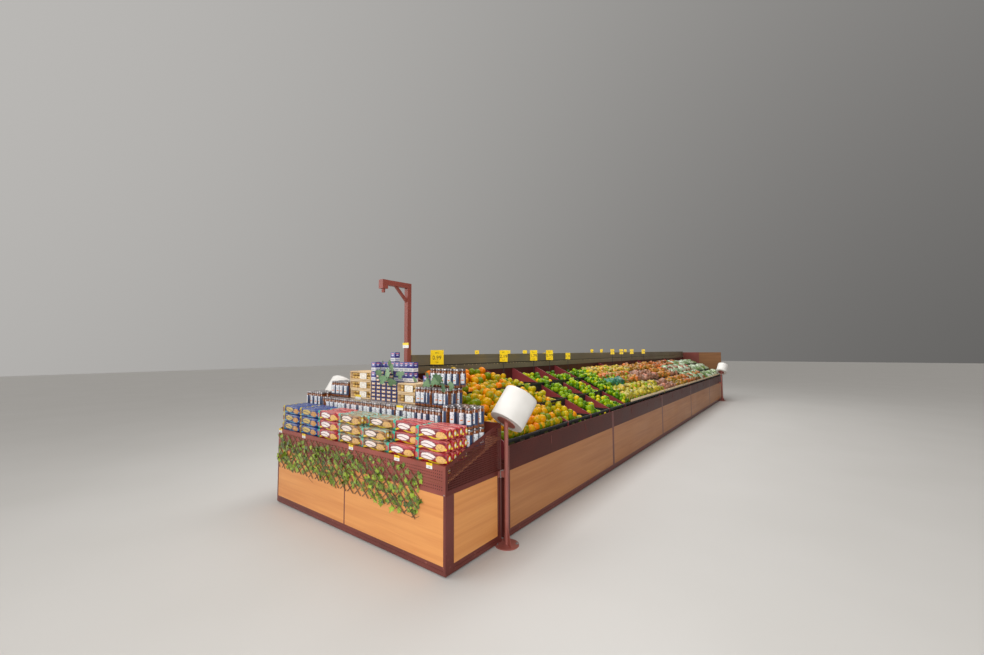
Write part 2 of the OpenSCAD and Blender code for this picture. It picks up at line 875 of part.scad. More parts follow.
// Willow bars in two layers, crossing in diamonds and trimmed to the hanging outline
module ivy_trellis() {
  top = band_top - trellis_drop;
  step = bar_pitch / sin(bar_angle);
  bar_l = 2 * trellis_tail_h / sin(bar_angle);
  lap = ceil(trellis_tail_h / tan(bar_angle) / step);
  crossings = floor((island_w - trellis_left - trellis_right) / step);
  left = trellis_left - side_x;
  width = crossings * step;
  right = left + width;
  outline = [
    [left, top], [left + 0.86 * width, top], [right - bar_pitch / 5, top - bar_pitch * 0.8],
    [right, top - trellis_tail_h * 0.6], [right - bar_pitch / 2, top - trellis_tail_h],
    [left + 0.85 * width, top - trellis_h], [left + 0.63 * width, top - trellis_h - bar_w],
    [left + 0.27 * width, top - trellis_h], [left, top - trellis_h]
  ];
  color([0.35, 0.25, 0.15]) for (s = [-1, 1])
    translate([0, head_y0 - fit - (s > 0 ? 0 : bar_t), 0]) rotate([90, 0, 0])
      linear_extrude(bar_t) intersection() {
        polygon(outline);
        for (k = [-lap : crossings + lap])
          translate([left + (k + trellis_phase) * step, top - trellis_h / 2])
            rotate(s * bar_angle) square([bar_l, bar_w], center = true);
      }
}

// Stock with a level top on the sloping deck, from y0 to y1
module on_deck(x0, x1, y0, y1, top) {
  along_x(x0, x1) polygon([[y0, deck_z(y0) + fit], [y1, deck_z(y1) + fit], [y1, top], [y0, top]]);
}

module snack_packets() {
  color("firebrick") on_deck(-stock_x, stock_x, packet_y0, packet_y1, packet_top);
}

module jar_tier_low() {
  color("sienna") on_deck(-jar_mid_x, jar_mid_x, jar_y0, stock_back, jar_low_top);
}

module jar_tier_ends() {
  color("sienna") both_sides()
    on_deck(stock_x - jar_end_w, stock_x, jar_y0, jar_y0 + jar_end_d, jar_end_top);
}

// Stock of the given size in X, Y and Z, its back against the rear of the head unit
module at_back(x, z, size) {
  block([x, stock_back - size[1], z], [x + size[0], stock_back, z + size[2]]);
}

module jar_tier_middle() {
  color("sienna") {
    at_back(-jar_mid_x, jar_low_top, [jar_mid_left_w, jar_mid_d, jar_h]);
    at_back(jar_mid_x - jar_mid_right_w, jar_low_top, [jar_mid_right_w, jar_mid_d, jar_h]);
  }
}

module jar_tier_top() {
  color("sienna")
    at_back(jar_mid_x - jar_top_w, jar_low_top + jar_h, [jar_top_w, jar_top_d, jar_h]);
}

module wood_trays() {
  color(wood) {
    at_back(tray_left_x, jar_low_top, [tray_left_w, tray_d, tray_left_count * tray_h]);
    at_back(tray_right_x, jar_low_top, [tray_right_w, tray_d, 2 * tray_h]);
  }
}

// Layers of small tins, with a few more on top beside the front boxed tins
module small_tins() {
  z = jar_low_top + small_tin_layers * small_tin_h;
  color("navy") {
    at_back(small_tin_x, jar_low_top,
      [tray_right_x - stock_gap - small_tin_x, tray_d, z - jar_low_top]);
    translate([small_tin_x + boxed_tin_w + stock_gap, stock_back - tray_d, z])
      cube([upper_tin_w, boxed_tin_w, upper_tin_layers * small_tin_h]);
  }
}

// Boxed tins two high on the small tins and trays, one in front, one on top, one on the jars
module tin_stack() {
  z = jar_low_top + max(2 * tray_h, small_tin_layers * small_tin_h);
  y = stock_back - jar_top_d;
  color("navy") {
    translate([small_tin_x, y, z]) cube([stack_columns * boxed_tin_w, boxed_tin_w, 2 * boxed_tin_h]);
    translate([small_tin_x, stock_back - tray_d, z]) cube([boxed_tin_w, boxed_tin_w, 2 * boxed_tin_h]);
    translate([small_tin_x + top_tin_column * boxed_tin_w, y, z + 2 * boxed_tin_h])
      cube([boxed_tin_w, boxed_tin_w, boxed_tin_h]);
    translate([jar_mid_x - jar_mid_right_w, y, jar_low_top + jar_h])
      cube([boxed_tin_w, boxed_tin_w, boxed_tin_h]);
  }
}

levelling_feet();
head_base();
head_skirting();
head_corner_profiles();
head_front_panels();
head_joint_strip();
head_side_panels();
head_back_panel();
head_front_band();
head_cheek_right();
head_cheek_left();
head_deck();
run_base();
run_end_board();
run_skirting();
run_posts();
run_panels();
run_bands();
run_crossbars();
tier_shelves();
tier_rack_right();
tier_rack_left();
spine_wall();
divider_boards();
ridge_lower_band();
ridge_seam();
ridge_upper_band();
far_gable_boards();
far_gable_middle();
crates_front_tier();
crates_middle_tier();
crates_top_tier();
scale_post();
roll_stands();
bag_roll_right_near();
bag_roll_right_far();
bag_roll_left_near();
bag_roll_left_far();
card_stems();
price_cards();
shelf_labels();
ivy_trellis();
snack_packets();
jar_tier_low();
jar_tier_ends();
jar_tier_middle();
jar_tier_top();
wood_trays();
small_tins();
tin_stack();
orange_heaps();
mandarin_heaps();
green_orange_heaps();
lime_heaps();
bagged_citrus();
mesh_sacks();
packed_greens();
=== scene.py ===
import math
import bpy
import numpy as np
from mathutils import Matrix, Vector


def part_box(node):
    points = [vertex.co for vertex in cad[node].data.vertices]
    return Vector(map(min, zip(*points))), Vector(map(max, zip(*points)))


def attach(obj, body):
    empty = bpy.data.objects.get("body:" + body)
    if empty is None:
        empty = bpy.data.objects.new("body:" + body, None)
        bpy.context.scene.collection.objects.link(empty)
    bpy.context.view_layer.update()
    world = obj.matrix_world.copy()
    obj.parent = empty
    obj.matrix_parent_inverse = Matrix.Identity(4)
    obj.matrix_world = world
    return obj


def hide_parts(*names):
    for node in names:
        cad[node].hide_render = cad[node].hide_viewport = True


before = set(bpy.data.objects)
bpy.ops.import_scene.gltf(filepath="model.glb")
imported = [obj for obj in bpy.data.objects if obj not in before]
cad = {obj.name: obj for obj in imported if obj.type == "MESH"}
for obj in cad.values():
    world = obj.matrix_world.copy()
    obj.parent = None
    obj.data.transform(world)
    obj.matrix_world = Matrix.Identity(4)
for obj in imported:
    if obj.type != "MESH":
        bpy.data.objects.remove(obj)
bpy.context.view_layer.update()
scene = bpy.context.scene
print("frame loaded with", len(cad), "nodes")


# Mesh helpers

def corners(node):
    low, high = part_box(node)
    return np.array(low), np.array(high)


# quads of a grid of rows x cols points, optionally closed into a tube either way
def gridFaces(rows, cols, closeRows=False, closeCols=False):
    i, j = np.meshgrid(np.arange(rows - (not closeRows)), np.arange(cols - (not closeCols)), indexing="ij")
    up, right = (i + 1) % rows, (j + 1) % cols
    return np.stack([i * cols + j, i * cols + right, up * cols + right, up * cols + j], -1).reshape(-1, 4)


# turns each face so that its normal leaves the point "centre", or leaves its own point of a row of them
def facingOut(points, faces, centre=(0, 0, 0)):
    a, b, c = (points[faces[:, k]] for k in range(3))
    inward = np.einsum("ij,ij->i", np.cross(b - a, c - b), points[faces].mean(1) - np.array(centre)) < 0
    faces = faces.copy()
    faces[inward] = faces[inward, ::-1]
    return faces


# the same faces for each of many copies of a shape with pointCount points
def copyFaces(faces, pointCount, copies):
    return (faces[None] + (np.arange(copies) * pointCount)[:, None, None]).reshape(-1, faces.shape[1])


# a cube of cuts x cuts quads a side, its points pushed out to radius 1
def quadSphere(cuts):
    t = np.tan(np.linspace(-1, 1, cuts + 1) * math.pi / 4)
    u, v = (g.ravel() for g in np.meshgrid(t, t, indexing="ij"))
    w = np.ones_like(u)
    sides = [np.roll(np.stack([s * w, u, v], -1), k, 1) for k in range(3) for s in (-1, 1)]
    points, index = np.unique(np.round(np.concatenate(sides), 6), axis=0, return_inverse=True)
    faces = index.ravel()[copyFaces(gridFaces(cuts + 1, cuts + 1), (cuts + 1) ** 2, 6)]
    points = points / np.linalg.norm(points, axis=1, keepdims=True)
    return points, facingOut(points, faces)


# rings of a profile of (radius, height) turned round Z, closed by a point at each end
def lathe(profile, sides):
    profile = np.array(profile, float)
    angle = np.arange(sides) * 2 * math.pi / sides
    ring = np.stack([np.cos(angle), np.sin(angle)], -1)
    body = np.concatenate([profile[:, None, :1] * ring[None], np.repeat(profile[:, None, 1:], sides, 1)], -1)
    ends = np.array([[0, 0, profile[0, 1]], [0, 0, profile[-1, 1]]])
    points = np.concatenate([body.reshape(-1, 3), ends])
    count, last = len(profile) * sides, (len(profile) - 1) * sides
    k = np.arange(sides)
    bottom = np.stack([(k + 1) % sides, k, np.full(sides, count)], -1)
    top = np.stack([last + k, last + (k + 1) % sides, np.full(sides, count + 1)], -1)
    return points, [gridFaces(len(profile), sides, closeCols=True), np.concatenate([bottom, top])]


signs = np.array([[x, y, z] for x in (-1, 1) for y in (-1, 1) for z in (-1, 1)])


# index lists of a box with cut edges: each corner has one point on each of its three sides
def cutBoxFaces():
    quads = []
    for axis in range(3):
        b, c = (axis + 1) % 3, (axis + 2) % 3
        for s in (-1, 1):
            loop = [(s, -1, -1), (s, 1, -1), (s, 1, 1), (s, -1, 1)]
            sides = [dict(zip((axis, b, c), q)) for q in loop]
            quads.append([cornerNumber(q) * 3 + axis for q in sides])
        for sb in (-1, 1):
            for sc in (-1, 1):
                low, high = (cornerNumber({axis: s, b: sb, c: sc}) for s in (-1, 1))
                quads.append([low * 3 + b, low * 3 + c, high * 3 + c, high * 3 + b])
    tris = [[k * 3, k * 3 + 1, k * 3 + 2] for k in range(8)]
    sample = signs[:, None, :] * (1 - 0.2 * (1 - np.eye(3)))[None]
    sample = sample.reshape(-1, 3)
    return facingOut(sample, np.array(quads)), facingOut(sample, np.array(tris))


def cornerNumber(at):
    return (at[0] > 0) * 4 + (at[1] > 0) * 2 + (at[2] > 0)


boxQuads, boxTris = cutBoxFaces()


# boxes with cut edges, from arrays of lowest and highest corners
def cutBoxes(lows, highs, cut=0.002):
    lows, highs = np.atleast_2d(lows).astype(float), np.atleast_2d(highs).astype(float)
    middle, half = (lows + highs) / 2, (highs - lows) / 2
    cut = np.minimum(cut, half.min(1) * 0.6)[:, None, None, None]
    shrink = cut * (1 - np.eye(3))[None, None]
    points = middle[:, None, None] + signs[None, :, None] * (half[:, None, None] - shrink)
    count = len(lows)
    return points.reshape(-1, 3), [copyFaces(boxQuads, 24, count), copyFaces(boxTris, 24, count)]


def boxPart(lows, highs, cut, pick=0):
    points, faces = cutBoxes(lows, highs, cut)
    return {"points": points, "faces": faces, "pick": pick}


# turn matrices, one a row, from three arrays of angles about Z, Y and X, of which one or two may be plain numbers
def turns(a, b, c):
    a, b, c = np.broadcast_arrays(a, b, c)
    ca, sa, cb, sb, cc, sc = np.cos(a), np.sin(a), np.cos(b), np.sin(b), np.cos(c), np.sin(c)
    o, i = np.zeros_like(ca), np.ones_like(ca)
    rows = lambda *r: np.stack([np.stack(q, -1) for q in r], -2)
    aboutZ = rows((ca, -sa, o), (sa, ca, o), (o, o, i))
    aboutY = rows((cb, o, sb), (o, i, o), (-sb, o, cb))
    aboutX = rows((i, o, o), (o, cc, -sc), (o, sc, cc))
    return aboutZ @ aboutY @ aboutX


# copies of one shape: sized, turned and moved by rows of arrays, with "local" keeping the shape's own place
def scatter(points, faces, places, spin=None, size=1.0, pick=0, **values):
    places = np.atleast_2d(places)
    count = len(places)
    size = np.broadcast_to(np.asarray(size, float).reshape(-1, 1, 1) if np.ndim(size) < 2
                           else np.asarray(size)[:, None], (count, 1, np.shape(size)[-1] if np.ndim(size) > 1 else 1))
    shaped = points[None] * size
    if spin is not None:
        shaped = shaped @ np.swapaxes(spin, -1, -2)
    made = (shaped + places[:, None]).reshape(-1, 3)
    n = len(points)
    attributes = {"local": np.tile(points, (count, 1))}
    attributes.update({k: np.repeat(np.broadcast_to(v, (count,)), n) for k, v in values.items()})
    return {"points": made, "faces": [copyFaces(f, n, count) for f in faces], "pick": pick, "values": attributes}


# one mesh object from several parts; values become point attributes
def joinParts(name, parts, materials, body="root", smooth=True, stands=(), angle=None):
    points = np.concatenate([p["points"] for p in parts])
    starts = np.cumsum([0] + [len(p["points"]) for p in parts])
    loops, sizes, picks = [], [], []
    for part, start in zip(parts, starts):
        for faces in part["faces"]:
            loops.append((faces + start).ravel())
            sizes.append(np.full(len(faces), faces.shape[1]))
            picks.append(np.full(len(faces), part.get("pick", 0)))
    loops, sizes, picks = (np.concatenate(x).astype(np.int32) for x in (loops, sizes, picks))
    mesh = bpy.data.meshes.new(name)
    mesh.vertices.add(len(points))
    mesh.vertices.foreach_set("co", points.astype(np.float32).ravel())
    mesh.loops.add(len(loops))
    mesh.loops.foreach_set("vertex_index", loops)
    mesh.polygons.add(len(sizes))
    mesh.polygons.foreach_set("loop_start", np.concatenate([[0], np.cumsum(sizes)[:-1]]).astype(np.int32))
    mesh.polygons.foreach_set("material_index", picks)
    mesh.polygons.foreach_set("use_smooth", np.full(len(sizes), smooth))
    mesh.update(calc_edges=True)
    for key in sorted({k for p in parts for k in p.get("values", {})}):
        columns = [np.asarray(p.get("values", {}).get(key, 0.0), float) for p in parts]
        wide = any(c.ndim == 2 for c in columns)
        full = [np.broadcast_to(c, (len(p["points"]), 3) if wide else (len(p["points"]),))
                for c, p in zip(columns, parts)]
        store = mesh.attributes.new(key, "FLOAT_VECTOR" if wide else "FLOAT", "POINT")
        store.data.foreach_set("vector" if wide else "value", np.concatenate(full).astype(np.float32).ravel())
    for material in materials:
        mesh.materials.append(material)
    piece = bpy.data.objects.new(name, mesh)
    scene.collection.objects.link(piece)
    if angle is not None:
        mesh.set_sharp_from_angle(angle=math.radians(angle))
    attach(piece, body)
    if stands:
        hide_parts(*stands)
    print(name, "has", int((sizes - 2).sum()), "triangles")
    return piece


# Material helpers

def paint(r, g, b):  # a screen colour from 0 to 255 as linear light
    c = np.array([r, g, b]) / 255
    return (*np.where(c < 0.04045, c / 12.92, ((c + 0.055) / 1.055) ** 2.4), 1)


def painted(*colours):
    return [paint(*c) for c in colours]


# one output of a node, to reckon with: each sum or comparison puts a Math node behind it
class Wire:
    def __init__(self, socket):
        self.socket, self.tree = socket, socket.id_data

    def math(self, operation, *rest, clamp=False):
        return calc(self.tree, operation, self, *rest, clamp=clamp)

    def into(self, target):
        self.tree.links.new(self.socket, target)

    def __abs__(self):
        return self.math("ABSOLUTE")


for sign, operation in {"add": "ADD", "sub": "SUBTRACT", "mul": "MULTIPLY", "truediv": "DIVIDE", "pow": "POWER",
                        "lt": "LESS_THAN", "gt": "GREATER_THAN"}.items():
    setattr(Wire, f"__{sign}__", lambda self, other, kind=operation: self.math(kind, other))
    setattr(Wire, f"__r{sign}__", lambda self, other, kind=operation: calc(self.tree, kind, other, self))


# a node's outputs, by name or by number
class Wires:
    def __init__(self, sockets):
        self.sockets = sockets

    def __getitem__(self, key):
        return Wire(self.sockets[key])


def put(tree, kind, values=None, **settings):
    node = tree.nodes.new("ShaderNode" + kind)
    for key, value in settings.items():
        setattr(node, key, value)
    for key, value in (values or {}).items():
        if isinstance(value, Wire):
            value.into(node.inputs[key])
        else:
            node.inputs[key].default_value = value
    return Wires(node.outputs)


def calc(tree, operation, a, b=0.0, c=0.0, clamp=False):
    return put(tree, "Math", {0: a, 1: b, 2: c}, operation=operation, use_clamp=clamp)[0]


def fade(value, low, high):  # 0 below low, 1 above high
    return put(value.tree, "MapRange", {"Value": value, "From Min": low, "From Max": high})["Result"]


def blend(mask, first, second):
    return put(mask.tree, "Mix", {0: mask, 6: first, 7: second}, data_type="RGBA")[2]


def noise(vector, scale, detail=2.0, **more):
    return put(vector.tree, "TexNoise", {"Vector": vector, "Scale": scale, "Detail": detail, **more})["Fac"]


def pebbles(vector, scale):
    return put(vector.tree, "TexVoronoi", {"Vector": vector, "Scale": scale})["Distance"]


def vectorMath(operation, vector, other):
    return put(vector.tree, "VectorMath", {0: vector, 1: other}, operation=operation)


def axes(vector):
    return put(vector.tree, "SeparateXYZ", {0: vector})


def objectPlace(tree):
    return put(tree, "TexCoord")["Object"]


def attribute(tree, name, output="Fac"):
    return put(tree, "Attribute", attribute_name=name)[output]


def localPlace(tree):  # place in the single piece's own frame, as it was before it was sized, turned and moved
    return attribute(tree, "local", "Vector")


def newGroup(name, inputs, outputs):
    group = bpy.data.node_groups.new(name, "ShaderNodeTree")
    kinds = {float: "Float", 3: "Vector", 4: "Color"}
    for key, value in inputs.items():
        kind = kinds[len(value) if isinstance(value, tuple) else float]
        group.interface.new_socket(key, in_out="INPUT", socket_type="NodeSocket" + kind).default_value = value
    for key, kind in outputs.items():
        group.interface.new_socket(key, in_out="OUTPUT", socket_type="NodeSocket" + kind)
    start = group.nodes.new("NodeGroupInput")
    end = group.nodes.new("NodeGroupOutput")
    return group, Wires(start.outputs), lambda key, wire: wire.into(end.inputs[key])


def useGroup(tree, group, **values):
    return put(tree, "Group", values, node_tree=group)


# streaks that run level along a board or a brushed sheet, with broad bands under them
def makeStreaks():
    group, given, give = newGroup("levelStreaks", {
        "Vector": (0.0, 0.0, 0.0), "Across": 60.0, "Along": 2.0, "Dark": (0, 0, 0, 1), "Light": (1, 1, 1, 1)},
        {"Color": "Color", "Height": "Float"})
    stretch = put(group, "CombineXYZ", {0: given["Along"], 1: given["Along"], 2: given["Across"]})[0]
    place = vectorMath("MULTIPLY", given["Vector"], stretch)[0]
    fine = noise(place, 1.0, 5.0, Distortion=0.4)
    wide = noise(place, 0.16, Distortion=1.2)
    mixed = fine * 0.45 + wide * 0.55
    give("Color", blend(fade(mixed, 0.36, 0.66), given["Dark"], given["Light"]))
    give("Height", fine)
    return group


# cloudy wear: a slow cloud, fine specks and scuffs that thicken towards the floor
def makeWear():
    group, given, give = newGroup("handlingWear", {"Vector": (0.0, 0.0, 0.0), "Scale": 6.0, "Scuff": 0.4},
                                  {"Cloud": "Float", "Specks": "Float", "Scuffs": "Float"})
    cloud = noise(given["Vector"], given["Scale"], 4.0)
    fine = noise(given["Vector"], 240.0)
    height = axes(given["Vector"])["Z"]
    low = fade(height, 0.35, 0.0)
    streak = noise(given["Vector"], 24.0, 6.0, Roughness=0.7)
    give("Cloud", cloud)
    give("Specks", fine)
    give("Scuffs", fade(streak, 0.6, 0.68) * (low * given["Scuff"]))
    return group


# rows of round holes on a square pitch, as a mask that is 1 inside a hole
def makeDots():
    group, given, give = newGroup("holeRows", {"U": 0.0, "V": 0.0, "Pitch": 0.025, "Radius": 0.003},
                                  {"Mask": "Float"})
    def away(value):
        share = (value / given["Pitch"]).math("FRACT")
        return (share - 0.5) ** 2.0
    distance = (away(given["U"]) + away(given["V"])).math("SQRT") * given["Pitch"]
    give("Mask", distance < given["Radius"])
    return group


# skin of a fruit: colour by its own tint, patches, pores and a stem dot, all in the fruit's own frame
def makePeel():
    group, given, give = newGroup("fruitPeel", {
        "Unripe": (0, 0, 0, 1), "Ripe": (1, 1, 1, 1), "Deep": (1, 1, 1, 1), "Pores": 26.0},
        {"Color": "Color", "Height": "Float"})
    local = localPlace(group)
    tint = attribute(group, "tint")
    shift = vectorMath("ADD", local, put(group, "CombineXYZ", {0: tint * 37.0})[0])[0]
    patch = noise(shift, 1.1)
    ripe = (tint * 1.1).math("ADD", (patch - 0.5) * 0.8, clamp=True)
    colour = blend(fade(ripe, 0.12, 0.5), given["Unripe"], given["Ripe"])
    colour = blend(fade(ripe, 0.6, 0.95), colour, given["Deep"])
    height = axes(local)["Z"]
    stem = fade(height, 0.975, 0.985)
    colour = blend(stem, colour, (0.12, 0.14, 0.03, 1))
    pore = noise(shift, given["Pores"], 1.0)
    give("Color", colour)
    give("Height", pore - stem * 2.0)
    return group


streaks, wear, dots, peel = makeStreaks(), makeWear(), makeDots(), makePeel()


def startMaterial(name, roughness=0.5, metallic=0.0, coat=0.0, **sockets):
    material = bpy.data.materials.new(name)
    material.use_nodes = True
    tree = material.node_tree
    shader = tree.nodes["Principled BSDF"]
    shader.inputs["Roughness"].default_value = roughness
    shader.inputs["Metallic"].default_value = metallic
    shader.inputs["Coat Weight"].default_value = coat
    for key, value in sockets.items():
        shader.inputs[key].default_value = value
    return material, tree, shader


def setColour(shader, colour):
    colour.into(shader.inputs["Base Color"])


def setBump(shader, height, strength=0.3, distance=0.001):
    bump = put(height.tree, "Bump", {"Height": height, "Strength": strength, "Distance": distance})
    bump["Normal"].into(shader.inputs["Normal"])


def setRoughness(shader, value, low, high):
    spread = put(value.tree, "MapRange", {"Value": value, "To Min": low, "To Max": high})
    spread["Result"].into(shader.inputs["Roughness"])


# joins colour, roughness (value, low, high) and bump (height, strength, distance) to the shader
def dressed(material, shader, colour, rough, bump):
    setColour(shader, colour)
    setRoughness(shader, *rough)
    setBump(shader, *bump)
    return material


# powder coat: cloudy, faintly pebbled, paler where it is scuffed
def coatedSteel(name, base, dark, pale, gloss, holes=None):
    base, dark, pale = painted(base, dark, pale)
    material, tree, shader = startMaterial(name, 0.36, **{"Specular IOR Level": gloss})
    place = objectPlace(tree)
    worn = useGroup(tree, wear, Vector=place, Scale=3.0, Scuff=0.55)
    colour = blend(fade(worn["Cloud"], 0.3, 0.7), dark, base)
    colour = blend(worn["Scuffs"], colour, pale)
    height = worn["Specks"] * 0.4
    if holes:
        y, z = axes(place)["Y"], axes(place)["Z"]
        mask = useGroup(tree, dots, U=y, V=z - 0.5825, **holes)["Mask"] * ((z > 0.6) * (z < 0.72))
        colour = blend(mask, colour, (0.006, 0.003, 0.003, 1))
        height = height - mask
    return dressed(material, shader, colour, (worn["Cloud"], 0.28, 0.44), (height, 0.25, 0.0008))


# level wood figure under a satin face
def woodBoard(name, dark, light, across, along, roughness=0.38):
    dark, light = painted(dark, light)
    material, tree, shader = startMaterial(name, roughness, **{"Specular IOR Level": 0.3})
    place = objectPlace(tree)
    figure = useGroup(tree, streaks, Vector=place, Across=across, Along=along, Dark=dark, Light=light)
    worn = useGroup(tree, wear, Vector=place, Scale=2.0, Scuff=0.5)
    colour = blend(worn["Scuffs"], figure["Color"], dark)
    return dressed(material, shader, colour, (worn["Cloud"], roughness - 0.08, roughness + 0.12),
                   (figure["Height"], 0.12, 0.0005))


def brushedSteel(name, dark, light):
    dark, light = painted(dark, light)
    material, tree, shader = startMaterial(name, 0.36, metallic=0.45)
    place = objectPlace(tree)
    figure = useGroup(tree, streaks, Vector=place, Across=160.0, Along=1.6, Dark=dark, Light=light)
    worn = useGroup(tree, wear, Vector=place, Scale=1.2, Scuff=0.0)
    smear = blend(fade(worn["Cloud"], 0.35, 0.65), figure["Color"], dark)
    return dressed(material, shader, smear, (worn["Cloud"], 0.28, 0.48), (figure["Height"], 0.08, 0.0003))


# moulded plastic: a fine pebble, and paler in clouds on what faces up: painted light from above
def mouldedPlastic(name, base, litTopColour, roughness=0.5):
    base, litTopColour = painted(base, litTopColour)
    material, tree, shader = startMaterial(name, roughness)
    place = objectPlace(tree)
    worn = useGroup(tree, wear, Vector=place, Scale=9.0, Scuff=0.3)
    up = axes(put(tree, "NewGeometry")["Normal"])["Z"]
    litTop = fade(up, 0.4, 1.0) * fade(worn["Cloud"], 0.35, 0.7)
    return dressed(material, shader, blend(litTop * 0.35, base, litTopColour),
                   (worn["Cloud"], roughness - 0.12, roughness + 0.12), (worn["Specks"], 0.2, 0.0005))


def fruitSkin(name, *colours):
    unripe, ripe, deep = painted(*colours)
    material, tree, shader = startMaterial(name, 0.26, **{"Specular IOR Level": 0.18})
    skin = useGroup(tree, peel, Unripe=unripe, Ripe=ripe, Deep=deep)
    setColour(shader, skin["Color"])
    setBump(shader, skin["Height"], 0.25, 0.001)
    return material


maroon = coatedSteel("maroonPaint", (118, 57, 50), (101, 48, 42), (172, 112, 100), 0.35)
# copies of the maroon paint in other tones, for parts on which the light falls differently: the two lighter ones, for
# the head's front band and scale post and for the roll stands, are painted light; the three darker ones, for the spine
# wall, the cheeks and the run bands, are painted shade
maroonLit = coatedSteel("maroonLit", (158, 82, 70), (136, 69, 59), (206, 142, 128), 0.35)
standMaroonLit = coatedSteel("standMaroonLit", (172, 100, 90), (144, 81, 73), (210, 152, 140), 0.6)
maroonDark = coatedSteel("maroonShaded", (92, 42, 40), (76, 34, 33), (150, 96, 90), 0.2)
cheekMaroonShaded = coatedSteel("cheekMaroonShaded", (112, 52, 45), (94, 43, 38), (160, 104, 94), 0.2)
maroonShadedHoled = coatedSteel("maroonShadedPerforated", (90, 42, 36), (74, 34, 30), (144, 90, 82), 0.12,
                          holes={"Pitch": 0.025, "Radius": 0.003})
dividerRed = coatedSteel("dividerPaint", (152, 64, 68), (130, 52, 57), (186, 112, 108), 0.35)
laminate = woodBoard("woodLaminate", (214, 139, 78), (234, 164, 97), 34.0, 1.3)
# the laminate made darker for the run panels: painted shade
runWoodShaded = woodBoard("runWoodShaded", (172, 110, 64), (192, 132, 82), 34.0, 1.3)
gableWood = woodBoard("gableWood", (110, 72, 44), (140, 96, 60), 34.0, 1.3)
rawDeck = woodBoard("deckBoard", (150, 96, 60), (180, 122, 80), 40.0, 2.0, 0.6)
ridgeSteel = brushedSteel("ridgeSteel", (128, 119, 98), (148, 138, 115))
seamBlack = mouldedPlastic("seamBlack", (24, 24, 24), (120, 112, 100))
crateBlack = mouldedPlastic("crateBlack", (30, 31, 32), (96, 92, 86))
footBlack = mouldedPlastic("footBlack", (40, 40, 40), (110, 104, 96), 0.65)
stemGrey = mouldedPlastic("stemGrey", (40, 42, 46), (110, 104, 96), 0.35)
willow = woodBoard("willowBar", (96, 70, 50), (150, 118, 88), 180.0, 60.0, 0.72)
print("materials made")


# CAD pieces that keep their shape

def finish(material, *names):
    for name in names:
        cad[name].data.materials.clear()
        cad[name].data.materials.append(material)


finish(maroon, "head_base", "head_skirting", "head_corner_profiles", "head_joint_strip", "head_back_panel",
       "run_base", "run_crossbars", "run_end_board", "run_skirting", "run_posts", "tier_rack_right",
       "tier_rack_left", "tier_shelves", "far_gable_middle")
finish(standMaroonLit, "roll_stands")
finish(maroonDark, "spine_wall")
finish(maroonLit, "scale_post")
finish(maroonShadedHoled, "run_bands")
finish(dividerRed, "divider_boards")
finish(laminate, "head_front_panels", "head_side_panels")
finish(runWoodShaded, "run_panels")
finish(gableWood, "far_gable_boards")
finish(rawDeck, "head_deck")
finish(ridgeSteel, "ridge_lower_band", "ridge_upper_band")
finish(seamBlack, "ridge_seam")
finish(crateBlack, "crates_front_tier", "crates_middle_tier", "crates_top_tier")
finish(footBlack, "levelling_feet")
finish(stemGrey, "card_stems")
finish(willow, "ivy_trellis")


# Loose fruit

tierBoxes = [corners(n) for n in ("crates_front_tier", "crates_middle_tier", "crates_top_tier")]
run = {
    "columnLength": 0.615, "crateLength": 0.600, "crateRim": 0.006, "crateWall": 0.005,
    "fronts": [high[0] for low, high in tierBoxes], "rims": [high[2] for low, high in tierBoxes],
    "crateDepth": 0.400, "bulge": 0.045, "topRise": 0.045, "dividerHalf": 0.007,
}
run["start"] = tierBoxes[0][0][1] - (run["columnLength"] - run["crateLength"]) / 2
run["back"] = run["fronts"][2] - run["crateDepth"]


# height of a heap over its crate: a straight slope with a parabola on it, u from 0 in front to 1 behind
def heapHeight(tier, fill, u):
    rise = run["topRise"] if tier == 2 else run["rims"][tier + 1] - run["rims"][tier] - 0.014
    return run["rims"][tier] + fill * (rise * u + 4 * run["bulge"] * u * (1 - u))


def heapSpan(tier):  # front and back edge in X
    back = run["back"] + run["crateWall"] if tier == 2 else run["fronts"][tier + 1] + 0.001
    return run["fronts"][tier] - run["crateRim"], back


def columnSpan(columns):  # near and far edge in Y of a compartment
    edges = run["start"] + np.array(columns) * run["columnLength"]
    return edges[0] + run["dividerHalf"], edges[1] - run["dividerHalf"]


# fill and drop at share t of a compartment: picked down from the near value to the far one
def heapLeft(heap, t):
    near, far, drop = heap
    return near + (far - near) * t ** 1.4, drop * t ** 1.6


